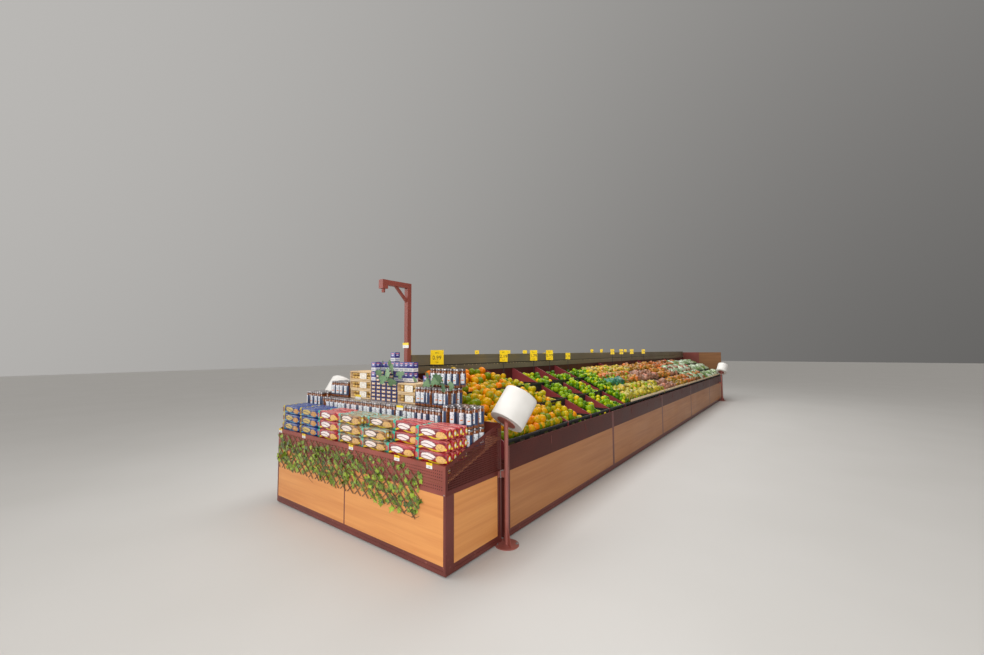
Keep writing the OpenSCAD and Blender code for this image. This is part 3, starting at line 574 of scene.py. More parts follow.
# points on a heap in rows along it, every other row half a step on
def heapPoints(tier, columns, heap, step, rng, sink, edge=0.5, stagger=0.12):
    front, back = heapSpan(tier)
    u = np.linspace(0, 1, 60)
    z = heapHeight(tier, heap[0], u)
    length = np.concatenate([[0], np.cumsum(np.hypot((back - front) * np.diff(u), np.diff(z)))])
    rows = max(int((length[-1] - step * 2 * edge) / (step * 0.87)) + 1, 1)
    y0, y1 = columnSpan(columns)
    perRow = int((y1 - y0 - step * 0.5) / step)
    s = np.linspace(step * edge, length[-1] - step * edge, rows)
    row, place = np.meshgrid(np.arange(rows), np.arange(perRow), indexing="ij")
    along = y0 + step * 0.5 + (y1 - y0 - step * 1.5) * place / max(perRow - 1, 1) + (row % 2) * step * 0.5
    s = s[row] + rng.uniform(-stagger, stagger, row.shape) * step
    s = np.clip(s, step * rng.uniform(0.56, 0.72, row.shape), length[-1] - step * 0.5)
    along = np.clip(along + rng.uniform(-stagger, stagger, row.shape) * step, y0 + step / 2, y1 - step / 2)
    share = np.interp(s, length, u)
    fill, drop = heapLeft(heap, (along - y0) / (y1 - y0))
    tilt = heapTilt(tier, fill, share)
    lift = rng.uniform(-0.2, 0.25, row.shape) * step - sink
    x = np.clip(front + (back - front) * share + np.sin(tilt) * lift, back + step * 0.45, front - step * 0.6)
    return np.stack([x, along,
                     heapHeight(tier, fill, share) - drop + np.cos(tilt) * lift], -1).reshape(-1, 3)


def heapTilt(tier, fill, share, step=0.01):  # its lean from front to back
    front, back = heapSpan(tier)
    rise = (heapHeight(tier, fill, share + step) - heapHeight(tier, fill, share - step)) / (2 * step)
    return np.arctan2(rise, front - back)


# a dark sheet under the goods: painted shade in the gaps between them, so that no gap shows through
def heapShadeSheet(tier, columns, heap, under, side, pick):
    front, back = heapSpan(tier)
    y0, y1 = columnSpan(columns)
    u, t = (g.ravel() for g in np.meshgrid(np.linspace(0, 1, 9), np.linspace(0, 1, 9), indexing="ij"))
    fill, drop = heapLeft(heap, t)
    z = heapHeight(tier, fill, u) - drop - under
    points, sheet = np.stack([front + (back - front) * u, y0 + (y1 - y0) * t, z], -1), gridFaces(9, 9)
    return {"points": points * [side, 1, 1], "faces": [sheet if side < 0 else sheet[:, ::-1]], "pick": pick}


def bothSides(points, faces):  # adds the mirror image in X, its faces turned back
    flipped = points * [-1, 1, 1]
    return np.concatenate([points, flipped]), [np.concatenate([f, f[:, ::-1] + len(points)]) for f in faces]


heaps = {
    # parts: columns, then near fill, far fill and drop; mound: how many columns the extra layers reach, and how much
    # less each next one does; thin: one in so many fruits of the lower layer is made
    # floor: colour of the dark sheet under the fruit, painted shade in the gaps
    "oranges": {"node": "orange_heaps", "slot": "orange_peel", "parts": [((0, 2), (1.0, 1.0, 0.01))], "size": 0.094,
                "mound": (2.25, 0.3), "cuts": 3, "seed": 11,
                "skin": ((108, 124, 0), (208, 154, 0), (228, 120, 0)),
                "floor": (40, 24, 6), "ripe": 0.38, "thin": 1},
    "mandarins": {"node": "mandarin_heaps", "slot": "orange_peel", "parts": [((2, 3), (0.85, 0.0, 0.085))],
                  "size": 0.082, "cuts": 3, "seed": 12,
                  "skin": ((98, 126, 0), (196, 170, 0), (234, 146, 0)),
                  "floor": (30, 28, 10), "ripe": 0.40, "thin": 1},
    "greenOranges": {"node": "green_orange_heaps", "slot": "lime_peel", "parts": [((3, 4), (0.85, 0.0, 0.085))],
                     "size": 0.076, "cuts": 3, "seed": 13,
                     "skin": ((78, 120, 8), (140, 172, 10), (230, 186, 14)),
                     "floor": (22, 28, 10), "ripe": 0.36, "thin": 2},
    "limes": {"node": "lime_heaps", "slot": "lime_peel",
              "parts": [((4, 5), (0.85, 0.3, 0.05)), ((5, 8), (0.95, 0.95, 0.0))], "size": 0.067, "cuts": 2,
              "seed": 14, "skin": ((64, 110, 0), (140, 178, 2), (214, 196, 4)),
              "floor": (22, 34, 6), "ripe": 0.34, "thin": 4},
}


# balls in rows on each tier's slope, some more on top of them, a lower layer that fills the gaps, and a dark sheet of
# painted shade;
# each ball is turned at random and its tint is a random value plus sine waves along the heap, which make clumps
def makeHeap(name, spec):
    rng, size = np.random.default_rng(spec["seed"]), spec["size"]
    ball, faces = quadSphere(spec["cuts"])
    parts, shadeSheets = [], []
    for columns, heap in spec["parts"]:
        for tier in range(3):
            for side in (1, -1):
                places = heapPoints(tier, columns, heap, size * 0.98, rng, size * 0.2)
                lower = heapPoints(tier, columns, heap, size * 0.98, rng, size * 0.5)
                y0, y1 = columnSpan(columns)
                far = (places[:, 1] - y0) / (y1 - y0)
                extra = rng.random(len(places)) < (0.20 if heap[0] == heap[1] else 0.75 * np.clip(1 - 1.5 * far, 0, 1))
                top = places[extra] + np.array([-0.2, 0.5, 0.6]) * size
                top = top[top[:, 1] < places[:, 1].max()]
                heaped = []
                if tier == 2 and "mound" in spec:  # two more layers against the ridge, each a smaller one
                    reach, back = spec["mound"]
                    depth = (places[:, 0] - places[:, 0].min()) / np.ptp(places[:, 0])
                    for layer in (1, 2):
                        near = places[:, 1] < y0 + (reach - back * layer) * run["columnLength"]
                        held = near & (depth < 0.75 - 0.22 * layer)
                        heaped.append(places[held] + np.array([0, 0.5 * (layer % 2), 0.74 * layer]) * size)
                lower[:, 1] = np.minimum(lower[:, 1] + size * 0.4, places[:, 1].max())
                under = lower[::spec["thin"]] if heap[0] == heap[1] else lower[:0]
                spots = np.concatenate([places, top, under] + heaped) * [side, 1, 1]
                count = len(spots)
                spin = turns(*(rng.uniform(0, 2 * math.pi, count) for _ in range(3)))
                girth = size / 2 * rng.uniform(0.88, 1.06, count)
                squat = np.stack([girth, girth, girth * rng.uniform(0.88, 1.04, count)], -1)
                clump = 0.12 * np.sin(spots[:, 1] * 11 + spots[:, 0] * 7) + 0.08 * np.sin(spots[:, 1] * 29)
                tint = np.clip(rng.normal(spec["ripe"], 0.27, count) + clump, 0, 1)
                parts.append(scatter(ball, [faces], spots, spin, squat, tint=tint))
                shadeSheets.append(heapShadeSheet(tier, columns, heap, size * 0.55, side, 1))
    skin = fruitSkin(name + "Skin", *spec["skin"])
    dark = mouldedPlastic(name + "Shade", spec["floor"], spec["skin"][0], 0.9)
    joinParts(name, parts + shadeSheets, [skin, dark], stands=[spec["node"]])


for heapName, heapSpec in heaps.items():
    makeHeap(heapName, heapSpec)
print("loose fruit heaped")


# Perforated sheets of the head unit

flatAxes = [(1, 2), (0, 2), (0, 1)]  # the two coordinates across each axis


# quads (n x 4 points of two coordinates, counter-clockwise) pulled between two depths along an axis
def prisms(quads, low, high, axis):
    quads = np.asarray(quads, float)
    a, b = flatAxes[axis]
    points = np.empty((len(quads), 2, 4, 3))
    points[..., a], points[..., b] = quads[:, None, :, 0], quads[:, None, :, 1]
    points[:, 0, :, axis], points[:, 1, :, axis] = low, high
    faces = np.array([[0, 1, 5, 4], [1, 2, 6, 5], [2, 3, 7, 6], [3, 0, 4, 7], [3, 2, 1, 0], [4, 5, 6, 7]])
    faces = faces[:, ::-1] if axis == 1 else faces
    return {"points": points.reshape(-1, 3), "faces": [copyFaces(faces, 8, len(quads))]}


# square cells of a sheet, each with an eight-sided hole right through it
def holedCells(centres, pitch, radius, low, high, axis):
    k = np.arange(8)
    angle = k * math.pi / 4
    ring = np.stack([np.cos(angle), np.sin(angle)], -1)
    square = np.sign(np.round(ring, 3)) * pitch / 2
    flat = np.concatenate([square, ring * radius])
    a, b = flatAxes[axis]
    points = np.empty((len(centres), 2, 16, 3))
    points[..., a] = centres[:, None, None, 0] + flat[:, 0]
    points[..., b] = centres[:, None, None, 1] + flat[:, 1]
    points[:, 0, :, axis], points[:, 1, :, axis] = low, high
    after = (k + 1) % 8
    upper = np.stack([16 + k, 16 + after, 24 + after, 24 + k], -1)
    lower = np.stack([8 + k, 8 + after, after, k], -1)
    wall = np.stack([24 + k, 24 + after, 8 + after, 8 + k], -1)
    faces = np.concatenate([upper, lower, wall])
    faces = faces[:, ::-1] if axis == 1 else faces
    return {"points": points.reshape(-1, 3), "faces": [copyFaces(faces, 32, len(centres))]}


def rectangle(a0, b0, a1, b1):
    return [[a0, b0], [a1, b0], [a1, b1], [a0, b1]]


sheets = {"thick": 0.0015, "bandPitch": 0.0215, "bandHole": 0.0046, "rows": 7, "lowest": 0.0275, "bow": 0.014,
          "pitch": 0.0165, "hole": 0.0064, "rim": 0.009, "cheekLow": 0.034, "cheekTop": 0.018, "screw": 0.0055}
bandLow, bandHigh = corners("head_front_band")
cheekLow, cheekHigh = corners("head_cheek_right")
headFront, headBack, halfWidth = cheekLow[1], cheekHigh[1], cheekHigh[0]


def cheekEdge(y):  # the upper edge: a slope with a shallow bow on it
    t = (y - headFront) / (headBack - headFront)
    return bandHigh[2] + t * (cheekHigh[2] - bandHigh[2]) + 4 * sheets["bow"] * t * (1 - t)


# holed cells in rows with plain margins round them, and a bead: a circle carried along each cheek's bowed edge
def makeHeadSheets():
    s, pitch = sheets, sheets["bandPitch"]
    front, behind = bandLow[1], bandLow[1] + s["thick"]
    columns = int((bandHigh[0] - bandLow[0] - 0.03) / pitch)
    x0, z0 = -columns * pitch / 2, bandLow[2] + s["lowest"]
    x, z = np.meshgrid(x0 + pitch * (np.arange(columns) + 0.5), z0 + pitch * (np.arange(s["rows"]) + 0.5))
    parts = [holedCells(np.stack([x.ravel(), z.ravel()], -1), pitch, s["bandHole"], front, behind, 1)]
    z1 = z0 + s["rows"] * pitch
    margins = [rectangle(bandLow[0], bandLow[2], bandHigh[0], z0), rectangle(bandLow[0], z1, bandHigh[0], bandHigh[2]),
               rectangle(bandLow[0], z0, x0, z1), rectangle(-x0, z0, bandHigh[0], z1)]
    parts.append(prisms(margins, front, behind, 1))
    lips = [[bandLow[0], behind, z] for z in (bandLow[2], bandHigh[2] - s["thick"])]
    lipEnds = [[bandHigh[0], bandHigh[1], z + s["thick"]] for z in (bandLow[2], bandHigh[2] - s["thick"])]
    parts.append(boxPart(lips, lipEnds, 0.0005))
    parts.append({**prisms([rectangle(x0, z0, -x0, z1)], bandHigh[1] - 0.002, bandHigh[1] - 0.001, 1), "pick": 2})
    pitch = s["pitch"]
    across = int((headBack - headFront - 0.03) / pitch)
    y0 = (headFront + headBack - across * pitch) / 2
    edges = y0 + pitch * np.arange(across + 1)
    base = cheekLow[2] + s["cheekLow"]
    spots, flats = [], [rectangle(y0, cheekLow[2], y0 + across * pitch, base)]
    for a, b in zip(edges[:-1], edges[1:]):
        count = int((cheekEdge(a) - s["cheekTop"] - base) / pitch)
        spots += [[(a + b) / 2, base + pitch * (k + 0.5)] for k in range(count)]
        flats.append([[a, base + count * pitch], [b, base + count * pitch], [b, cheekEdge(b)], [a, cheekEdge(a)]])
    for a, b in ((headFront, edges[0]), (edges[-1], headBack)):
        flats.append([[a, cheekLow[2]], [b, cheekLow[2]], [b, cheekEdge(b)], [a, cheekEdge(a)]])
    t = np.linspace(headFront + 0.006, headBack - 0.004, 26)
    bead = np.arange(10) * math.pi / 5
    middle = np.stack([np.full(26, halfWidth - 0.0045), t, cheekEdge(t) - 0.0045], -1)
    tube = middle[:, None] + s["rim"] / 2 * np.stack([np.cos(bead), 0 * bead, np.sin(bead)], -1)[None]
    tube = np.concatenate([middle[:1], tube.reshape(-1, 3), middle[-1:]])
    caps = np.arange(10)
    ends = np.concatenate([np.stack([0 * caps, 1 + caps, 1 + (caps + 1) % 10], -1),
                           np.stack([0 * caps + 261, 251 + (caps + 1) % 10, 251 + caps], -1)])
    sideParts = [holedCells(np.array(spots), pitch, s["hole"], halfWidth - s["thick"], halfWidth, 0),
                 prisms(flats, halfWidth - s["thick"], halfWidth, 0),
                 {"points": tube, "faces": [facingOut(tube, gridFaces(26, 10, closeCols=True) + 1, tube.mean(0)),
                                            ends]}]
    for part in sideParts:
        points, faces = bothSides(part["points"], part["faces"])
        parts.append({"points": points, "faces": faces, "pick": 3})
    ball, ballFaces = quadSphere(2)
    screws = [[x, front, bandLow[2] + 0.008] for x in (bandLow[0] + 0.012, bandHigh[0] - 0.012)]
    parts.append(scatter(ball * [1, 0.5, 1], [ballFaces], screws, size=s["screw"], pick=1))
    steel = brushedSteel("screwSteel", (150, 150, 150), (220, 220, 220))
    shade = mouldedPlastic("bandShade", (16, 8, 7), (40, 24, 22), 0.8)
    joinParts("headSheets", parts, [maroonLit, steel, shade, cheekMaroonShaded], smooth=False,
              stands=["head_front_band", "head_cheek_left", "head_cheek_right"])


makeHeadSheets()
print("perforated sheets made")


# Packets on the head's front step

def boxFront(tree):  # picture coordinates on a pack: across, up, and whether this is an upright face
    local = localPlace(tree)
    x, y, z = axes(local)
    flat = abs(z) > abs(y)
    up = put(tree, "Mix", {0: flat, 2: z, 3: y})[0]
    return x, up, flat


# 1 inside an ellipse whose edge wobbles by a noise
def blob(x, up, centre, radii, wobble=0.0, vector=None):
    a = (x - centre[0]) / radii[0]
    b = (up - centre[1]) / radii[1]
    size = a * a + b * b
    if wobble:
        size = size + (noise(vector, 5.0, 1.0) - 0.5) * wobble
    return fade(size, 1.08, 0.92)


# glossy film: an end strip with a disc, a pale cloud on a wavy field, biscuit rounds, a ribbon, and a plain top
def packetFilm(name, *colours):
    field, strip, disc, cloud, rounds, deep, top, ribbon = painted(*colours)
    material, tree, shader = startMaterial(name, 0.2, coat=0.35)
    x, up, flat = boxFront(tree)
    local = localPlace(tree)
    side = axes(local)
    spot = put(tree, "CombineXYZ", {0: x, 1: up, 2: attribute(tree, "tint") * 9.0})[0]
    clouded = noise(spot, 2.6, 3.0)
    colour = blend(fade(clouded, 0.42, 0.6), field, deep)
    wave = up + (x * 5.0).math("SINE") * 0.25
    wave = abs(wave + 0.62)
    colour = blend(fade(wave, 0.2, 0.14), colour, ribbon)
    crumbs = pebbles(spot, 7.0)
    biscuit = blob(x, up, (0.64, -0.16), (0.3, 0.6), 0.5, spot)
    grain = blend(fade(crumbs, 0.32, 0.12), rounds, deep)
    colour = blend(biscuit, colour, grain)
    colour = blend(blob(x, up, (-0.12, 0.12), (0.52, 0.7), 0.9, spot), colour, deep)
    swoosh = abs(up + (x * 6.0).math("SINE") * 0.16)
    inner = blob(x, up, (-0.12, 0.1), (0.44, 0.54), 1.0, spot) * fade(swoosh, 0.03, 0.08)
    colour = blend(inner, colour, cloud)
    atEnd = fade(x, -0.7, -0.72)
    colour = blend(atEnd, colour, strip)
    colour = blend(blob(x, up, (-0.86, -0.05), (0.1, 0.52)), colour, disc)
    plain = blend(fade(clouded, 0.5, 0.56), top, field)
    plain = blend(atEnd, plain, strip)
    facesUp = flat * (abs(x) < 0.97)
    colour = blend(facesUp, colour, plain)
    cap = blend(blob(side["Y"], side["Z"], (0.1, 0.1), (0.42, 0.5)), field, ribbon)
    cap = blend(blob(side["Y"], side["Z"], (0.1, 0.1), (0.28, 0.3)), cap, cloud)
    colour = blend(abs(x) > 0.97, colour, cap)
    setColour(shader, colour)
    wrinkle = noise(local, 3.5, 4.0, Distortion=1.5)
    setRoughness(shader, wrinkle, 0.12, 0.38)
    setBump(shader, wrinkle, 0.5, 0.006)
    return material


# a pack as a rounded box: |x|^power + |y|^power + |z|^power = 1
def roundedBox(cuts, power):
    points, faces = quadSphere(cuts)
    grown = points / (np.abs(points) ** power).sum(1, keepdims=True) ** (1 / power)
    return grown, faces


packets = {
    "columns": 7, "size": (0.0600, 0.0855), "rowDepth": 0.0612, "layer": 0.0868, "deckFront": 0.650,
    "deckAngle": 18.0, "power": 9,
    "order": ["blue", "blue", "red", "brown", "brown", "red", "red"],
    # layers missing from the top in the front rows, by column
    "missing": {4: (1, 0), 5: (2, 0, 0)},
    "films": {
        # field, end strip, its disc, cloud, biscuit, dark shade, top, ribbon
        "blue": ((26, 60, 140), (214, 190, 40), (150, 60, 40), (206, 178, 96),
                 (206, 150, 84), (12, 26, 84), (34, 62, 130), (60, 150, 196)),
        "red": ((178, 14, 34), (40, 186, 160), (216, 110, 104), (248, 236, 232),
                (236, 186, 110), (120, 8, 30), (214, 120, 110), (244, 212, 40)),
        "brown": ((168, 116, 54), (110, 196, 178), (212, 120, 110), (246, 228, 216),
                  (222, 176, 110), (72, 40, 16), (156, 190, 170), (240, 208, 50)),
    },
}
packLow, packHigh = corners("snack_packets")
deckSlope = math.tan(math.radians(packets["deckAngle"]))


def deckHeight(y):
    return packets["deckFront"] + (y - headFront) * deckSlope


# packets stacked down from the top of the CAD block to the sloping deck, each turned a little
def makePackets():
    rng = np.random.default_rng(21)
    shape, faces = roundedBox(5, packets["power"])
    names = list(packets["films"])
    films = [packetFilm(n + "Film", *packets["films"][n]) for n in names]
    parts = []
    deep, tall = packets["size"]
    fullRows = int((packHigh[1] - packLow[1]) / packets["rowDepth"])
    pitch = (packHigh[0] - packLow[0] - 0.008) / packets["columns"]
    for column, film in enumerate(packets["order"]):
        middle = packLow[0] + 0.004 + pitch * (column + 0.5)
        gone = packets["missing"].get(column, (0,))
        for row in range(fullRows):
            y = packLow[1] + packets["rowDepth"] * (row + 0.5)
            top = packHigh[2] - 0.002 - rng.uniform(0, 0.006)
            base = deckHeight(y + deep / 2) + 0.002
            high = np.arange(top - tall / 2, base + tall * 0.2, -packets["layer"])
            high = high[gone[min(row, len(gone) - 1)]:]
            count = len(high)
            if not count:
                continue
            spots = np.stack([middle + rng.uniform(-0.003, 0.003, count), y + rng.uniform(-0.001, 0.001, count),
                              high], -1)
            size = np.stack([np.full(count, pitch * 0.492), np.full(count, deep / 2), np.full(count, tall / 2)], -1)
            spin = turns(rng.uniform(-0.012, 0.012, count), rng.uniform(-0.006, 0.006, count), 0)
            parts.append(scatter(shape, [faces], spots, spin, size, pick=names.index(film), tint=rng.random(count)))
    joinParts("snackPackets", parts, films, stands=["snack_packets"])


makePackets()
print("packets stacked")


# Jars

# carton: pitch of the cartons under the lowest tier; second: start of their second row behind the first one's
jars = {"radius": 0.0338, "height": 0.163, "pitch": 0.0712, "sides": 16, "carton": 0.2941, "second": 0.19}
jarProfile = [(0.0290, 0.0), (0.0330, 0.003), (0.0338, 0.010), (0.0338, 0.128), (0.0300, 0.140), (0.0285, 0.145),
              (0.0310, 0.1455), (0.0316, 0.149), (0.0316, 0.160), (0.0300, 0.1625)]


def jarMaterial():
    material, tree, shader = startMaterial("jarGlassLabelLid", 0.14, coat=0.5)
    local = localPlace(tree)
    x, y, z = axes(local)
    around = x.math("ARCTAN2", y * -1.0) / math.pi
    tint = attribute(tree, "tint")
    lumps = noise(local, 70.0)
    colour = blend(fade(lumps, 0.3, 0.7), paint(52, 22, 8), paint(158, 84, 28))
    inLabel = fade(z, 0.0225, 0.0235) * fade(z, 0.1215, 0.1205)
    inLabel = inLabel * fade(abs(around), 0.44, 0.43)
    label = blend(fade(around, -0.2, -0.19), paint(24, 40, 72), paint(228, 230, 234))
    label = blend(fade(around, 0.17, 0.18), label, paint(34, 54, 90))
    marks = noise(local, 150.0)
    marks = fade(marks, 0.58, 0.62) * fade(abs(z - 0.095), 0.016, 0.014)
    label = blend(marks, label, paint(40, 56, 96))
    stripe = fade(abs(z - 0.064), 0.005, 0.004) * fade(abs(around), 0.11, 0.1)
    label = blend(stripe, label, paint(232, 128, 56))
    low = fade(z, 0.036, 0.035)
    label = blend(low, label, paint(46, 66, 100))
    colour = blend(inLabel, colour, label)
    inLid = fade(z, 0.1448, 0.1452)
    colour = blend(inLid, colour, blend(tint, paint(120, 112, 112), paint(170, 166, 168)))
    setColour(shader, colour)
    (inLid * 0.9).into(shader.inputs["Metallic"])
    rough = inLabel * 0.3 + inLid * 0.2
    setRoughness(shader, rough, 0.1, 1.1)
    ribs = put(tree, "TexWave", {"Vector": put(tree, "CombineXYZ", {0: around * 9.0})[0], "Scale": 1.0})["Fac"]
    setBump(shader, lumps * 0.4 + ribs * inLid, 0.2, 0.0006)
    return material


def jarGrid(box, top):
    low, high = box
    across = max(int((high[0] - low[0]) / (2 * jars["radius"] + 0.002)), 1)
    deep = max(int((high[1] - low[1]) / (2 * jars["radius"] + 0.001)), 1)
    x = low[0] + (high[0] - low[0]) * (np.arange(across) + 0.5) / across
    y = low[1] + jars["radius"] + 0.001 + min(jars["pitch"], (high[1] - low[1]) / deep) * np.arange(deep)
    gx, gy = np.meshgrid(x, y)
    return np.stack([gx.ravel(), gy.ravel(), np.full(gx.size, top - jars["height"])], -1)


def half(node, side):  # one of the two blocks of a node that lie on either side of X = 0
    flat = np.array([v.co[:] for v in cad[node].data.vertices])
    inside = flat[flat[:, 0] * side > 0]
    return inside.min(0), inside.max(0)


# jars on a grid inside each CAD block, the end groups two high where the deck leaves room, and cartons under the lowest
def makeJars():
    rng = np.random.default_rng(31)
    shape, faces = lathe(jarProfile, jars["sides"])
    lowBox, topBox = corners("jar_tier_low"), corners("jar_tier_top")
    spots = [jarGrid(lowBox, lowBox[1][2]), jarGrid(topBox, topBox[1][2])]
    for side in (1, -1):
        spots.append(jarGrid(half("jar_tier_middle", side), corners("jar_tier_middle")[1][2]))
        endBox = half("jar_tier_ends", side)
        upper = jarGrid(endBox, endBox[1][2])
        lower = upper - [0, 0, jars["height"] + 0.001]
        spots += [upper, lower[lower[:, 2] > deckHeight(lower[:, 1] + jars["radius"])]]
    spots = np.concatenate(spots)
    count = len(spots)
    spots[:, :2] += rng.uniform(-0.0012, 0.0012, (count, 2))
    spin = turns(rng.normal(0.35, 0.4, count), 0, 0)
    jarPart = scatter(shape, faces, spots, spin, size=1.0, tint=rng.random(count))
    low, high = lowBox
    starts, second = np.arange(low[0], high[0] - 0.2, jars["carton"]), low[1] + jars["second"]
    top = high[2] - jars["height"] - 0.002
    lows = [[x + 0.001, low[1] + 0.004, deckHeight(second) + 0.002] for x in starts]
    highs = [[x + 0.292, low[1] + 0.186, top] for x in starts]
    lows += [[x + 0.001, second, deckHeight(high[1]) + 0.002] for x in starts]
    highs += [[x + 0.292, high[1] - 0.002, top] for x in starts]
    parts = [jarPart, boxPart(lows, highs, 0.003, 1)]
    card = woodBoard("cartonBoard", (150, 112, 74), (180, 140, 98), 12.0, 8.0, 0.7)
    joinParts("jars", parts, [jarMaterial(), card], angle=40,
              stands=["jar_tier_low", "jar_tier_ends", "jar_tier_middle", "jar_tier_top"])


makeJars()
print("jars set out")


# Trays, tins and garland on the head

unitBox, unitBoxFaces = cutBoxes([-1, -1, -1], [1, 1, 1], 0.05)


def blocks(lows, highs, rng=None, pick=0):  # boxes that keep their own -1 to 1 coordinates in "local"
    lows, highs = np.atleast_2d(lows), np.atleast_2d(highs)
    tint = rng.random(len(lows)) if rng is not None else 0.5
    return scatter(unitBox, unitBoxFaces, (lows + highs) / 2, size=(highs - lows) / 2, pick=pick, tint=tint)


# picture coordinates on any upright face of a box: across, up, and a mask for the four upright faces
def sideFace(tree):
    local = localPlace(tree)
    x, y, z = axes(local)
    onSide = abs(x) > abs(y)
    across = put(tree, "Mix", {0: onSide, 2: x, 3: y * -1.0})[0]
    upright = abs(z) < 0.97
    return across, z, upright


def framed(across, up, centre, half, edge=0.04):  # 1 inside a rectangle
    a = fade(abs(across - centre[0]), half[0] + edge, half[0])
    b = fade(abs(up - centre[1]), half[1] + edge, half[1])
    return a * b


def smallTinPrint():
    material, tree, shader = startMaterial("smallTinPrint", 0.28, coat=0.3)
    across, up, upright = sideFace(tree)
    cloud = noise(objectPlace(tree), 60.0)
    colour = blend(cloud, paint(24, 28, 84), paint(44, 50, 116))
    gold = blend(cloud, paint(196, 140, 70), paint(240, 206, 140))
    for mark, place, size, tone in ((framed, (0, -0.12), (0.62, 0.6), gold),
                                    (blob, (0, -0.1), (0.42, 0.5), paint(238, 234, 228)),
                                    (blob, (0.02, 0.5), (0.26, 0.22), paint(36, 44, 104)),
                                    (blob, (0.1, -0.45), (0.2, 0.2), paint(216, 120, 60))):
        colour = blend(upright * mark(across, up, place, size), colour, tone)
    return dressed(material, shader, colour, (cloud, 0.2, 0.36), (cloud, 0.08, 0.0005))


def boxedTinPrint():
    material, tree, shader = startMaterial("boxedTinPrint", 0.3, coat=0.25)
    across, up, upright = sideFace(tree)
    cloud = noise(objectPlace(tree), 50.0)
    colour = blend(cloud, paint(44, 42, 116), paint(66, 62, 148))
    white = fade(up, -0.14, -0.18) * fade(up, -0.9, -0.86)
    white = white * upright
    shade = blend(framed(across, up, (0.0, -0.52), (0.7, 0.1)), paint(240, 238, 240), paint(186, 190, 210))
    colour = blend(white, colour, shade)
    colour = blend(upright * framed(across, up, (0, 0.72), (0.55, 0.05)), colour, paint(240, 150, 150))
    colour = blend(upright * blob(across, up, (0, 0.4), (0.5, 0.14)), colour, paint(206, 208, 232))
    return dressed(material, shader, colour, (cloud, 0.2, 0.4), (cloud, 0.08, 0.0005))


def grid3(low, high, counts, gap=0.0015):  # a block of count x count x count boxes
    low, high, counts = np.array(low, float), np.array(high, float), np.array(counts)
    step = (high - low) / counts
    index = np.stack(np.meshgrid(*(np.arange(n) for n in counts), indexing="ij"), -1).reshape(-1, 3)
    start = low + index * step
    return start + gap / 2, start + step - gap / 2


tins = {"smallTall": 0.0372, "layers": 5, "upperLayers": 3, "boxed": 0.0665, "boxedTall": 0.096, "columns": 8,
        "topColumn": 3, "upperWide": 0.200, "gap": 0.008}


# a block of small tins with a shorter row on it, and the boxed tins in two layers with four single ones
def makeTins():
    rng = np.random.default_rng(41)
    low, high = corners("small_tins")
    base = low[2] + tins["layers"] * tins["smallTall"]
    lows, highs = grid3(low, [high[0], high[1], base], (5, 3, tins["layers"]))
    x0 = low[0] + tins["boxed"] + tins["gap"]
    more = grid3([x0, low[1], base], [x0 + tins["upperWide"], low[1] + tins["boxed"], high[2]],
                 (3, 1, tins["upperLayers"]))
    small = blocks(np.concatenate([lows, more[0]]), np.concatenate([highs, more[1]]), rng)
    left, right = corners("tin_stack")
    w, h, rowY = tins["boxed"], tins["boxedTall"], right[1] - tins["boxed"]
    z = high[2] - tins["upperLayers"] * tins["smallTall"]
    lows, highs = grid3([left[0], rowY, z], [left[0] + w * tins["columns"], rowY + w, z + 2 * h],
                        (tins["columns"], 1, 2))
    extra = np.array([[left[0], low[1], z], [left[0], low[1], z + h],
                      [left[0] + w * tins["topColumn"], rowY, z + 2 * h], [right[0] - w, rowY, left[2]]])
    ends = extra + [w - 0.001, w - 0.001, h - 0.001]
    boxed = blocks(np.concatenate([lows, extra + 0.001]), np.concatenate([highs, ends]), rng, pick=1)
    for part in (small, boxed):
        part["points"] += np.repeat(rng.uniform(-0.0006, 0.0006, (len(part["points"]) // 24, 3)), 24, 0) * [1, 1, 0]
    joinParts("tins", [small, boxed], [smallTinPrint(), boxedTinPrint()], angle=35,
              stands=["small_tins", "tin_stack"])


makeTins()


trays = {"board": 0.007, "rail": 0.015, "ball": 0.0185, "plaque": (0.110, 0.058), "left": (-0.5647, -0.2147, 3),
         "right": (0.1997, 0.4497, 2)}


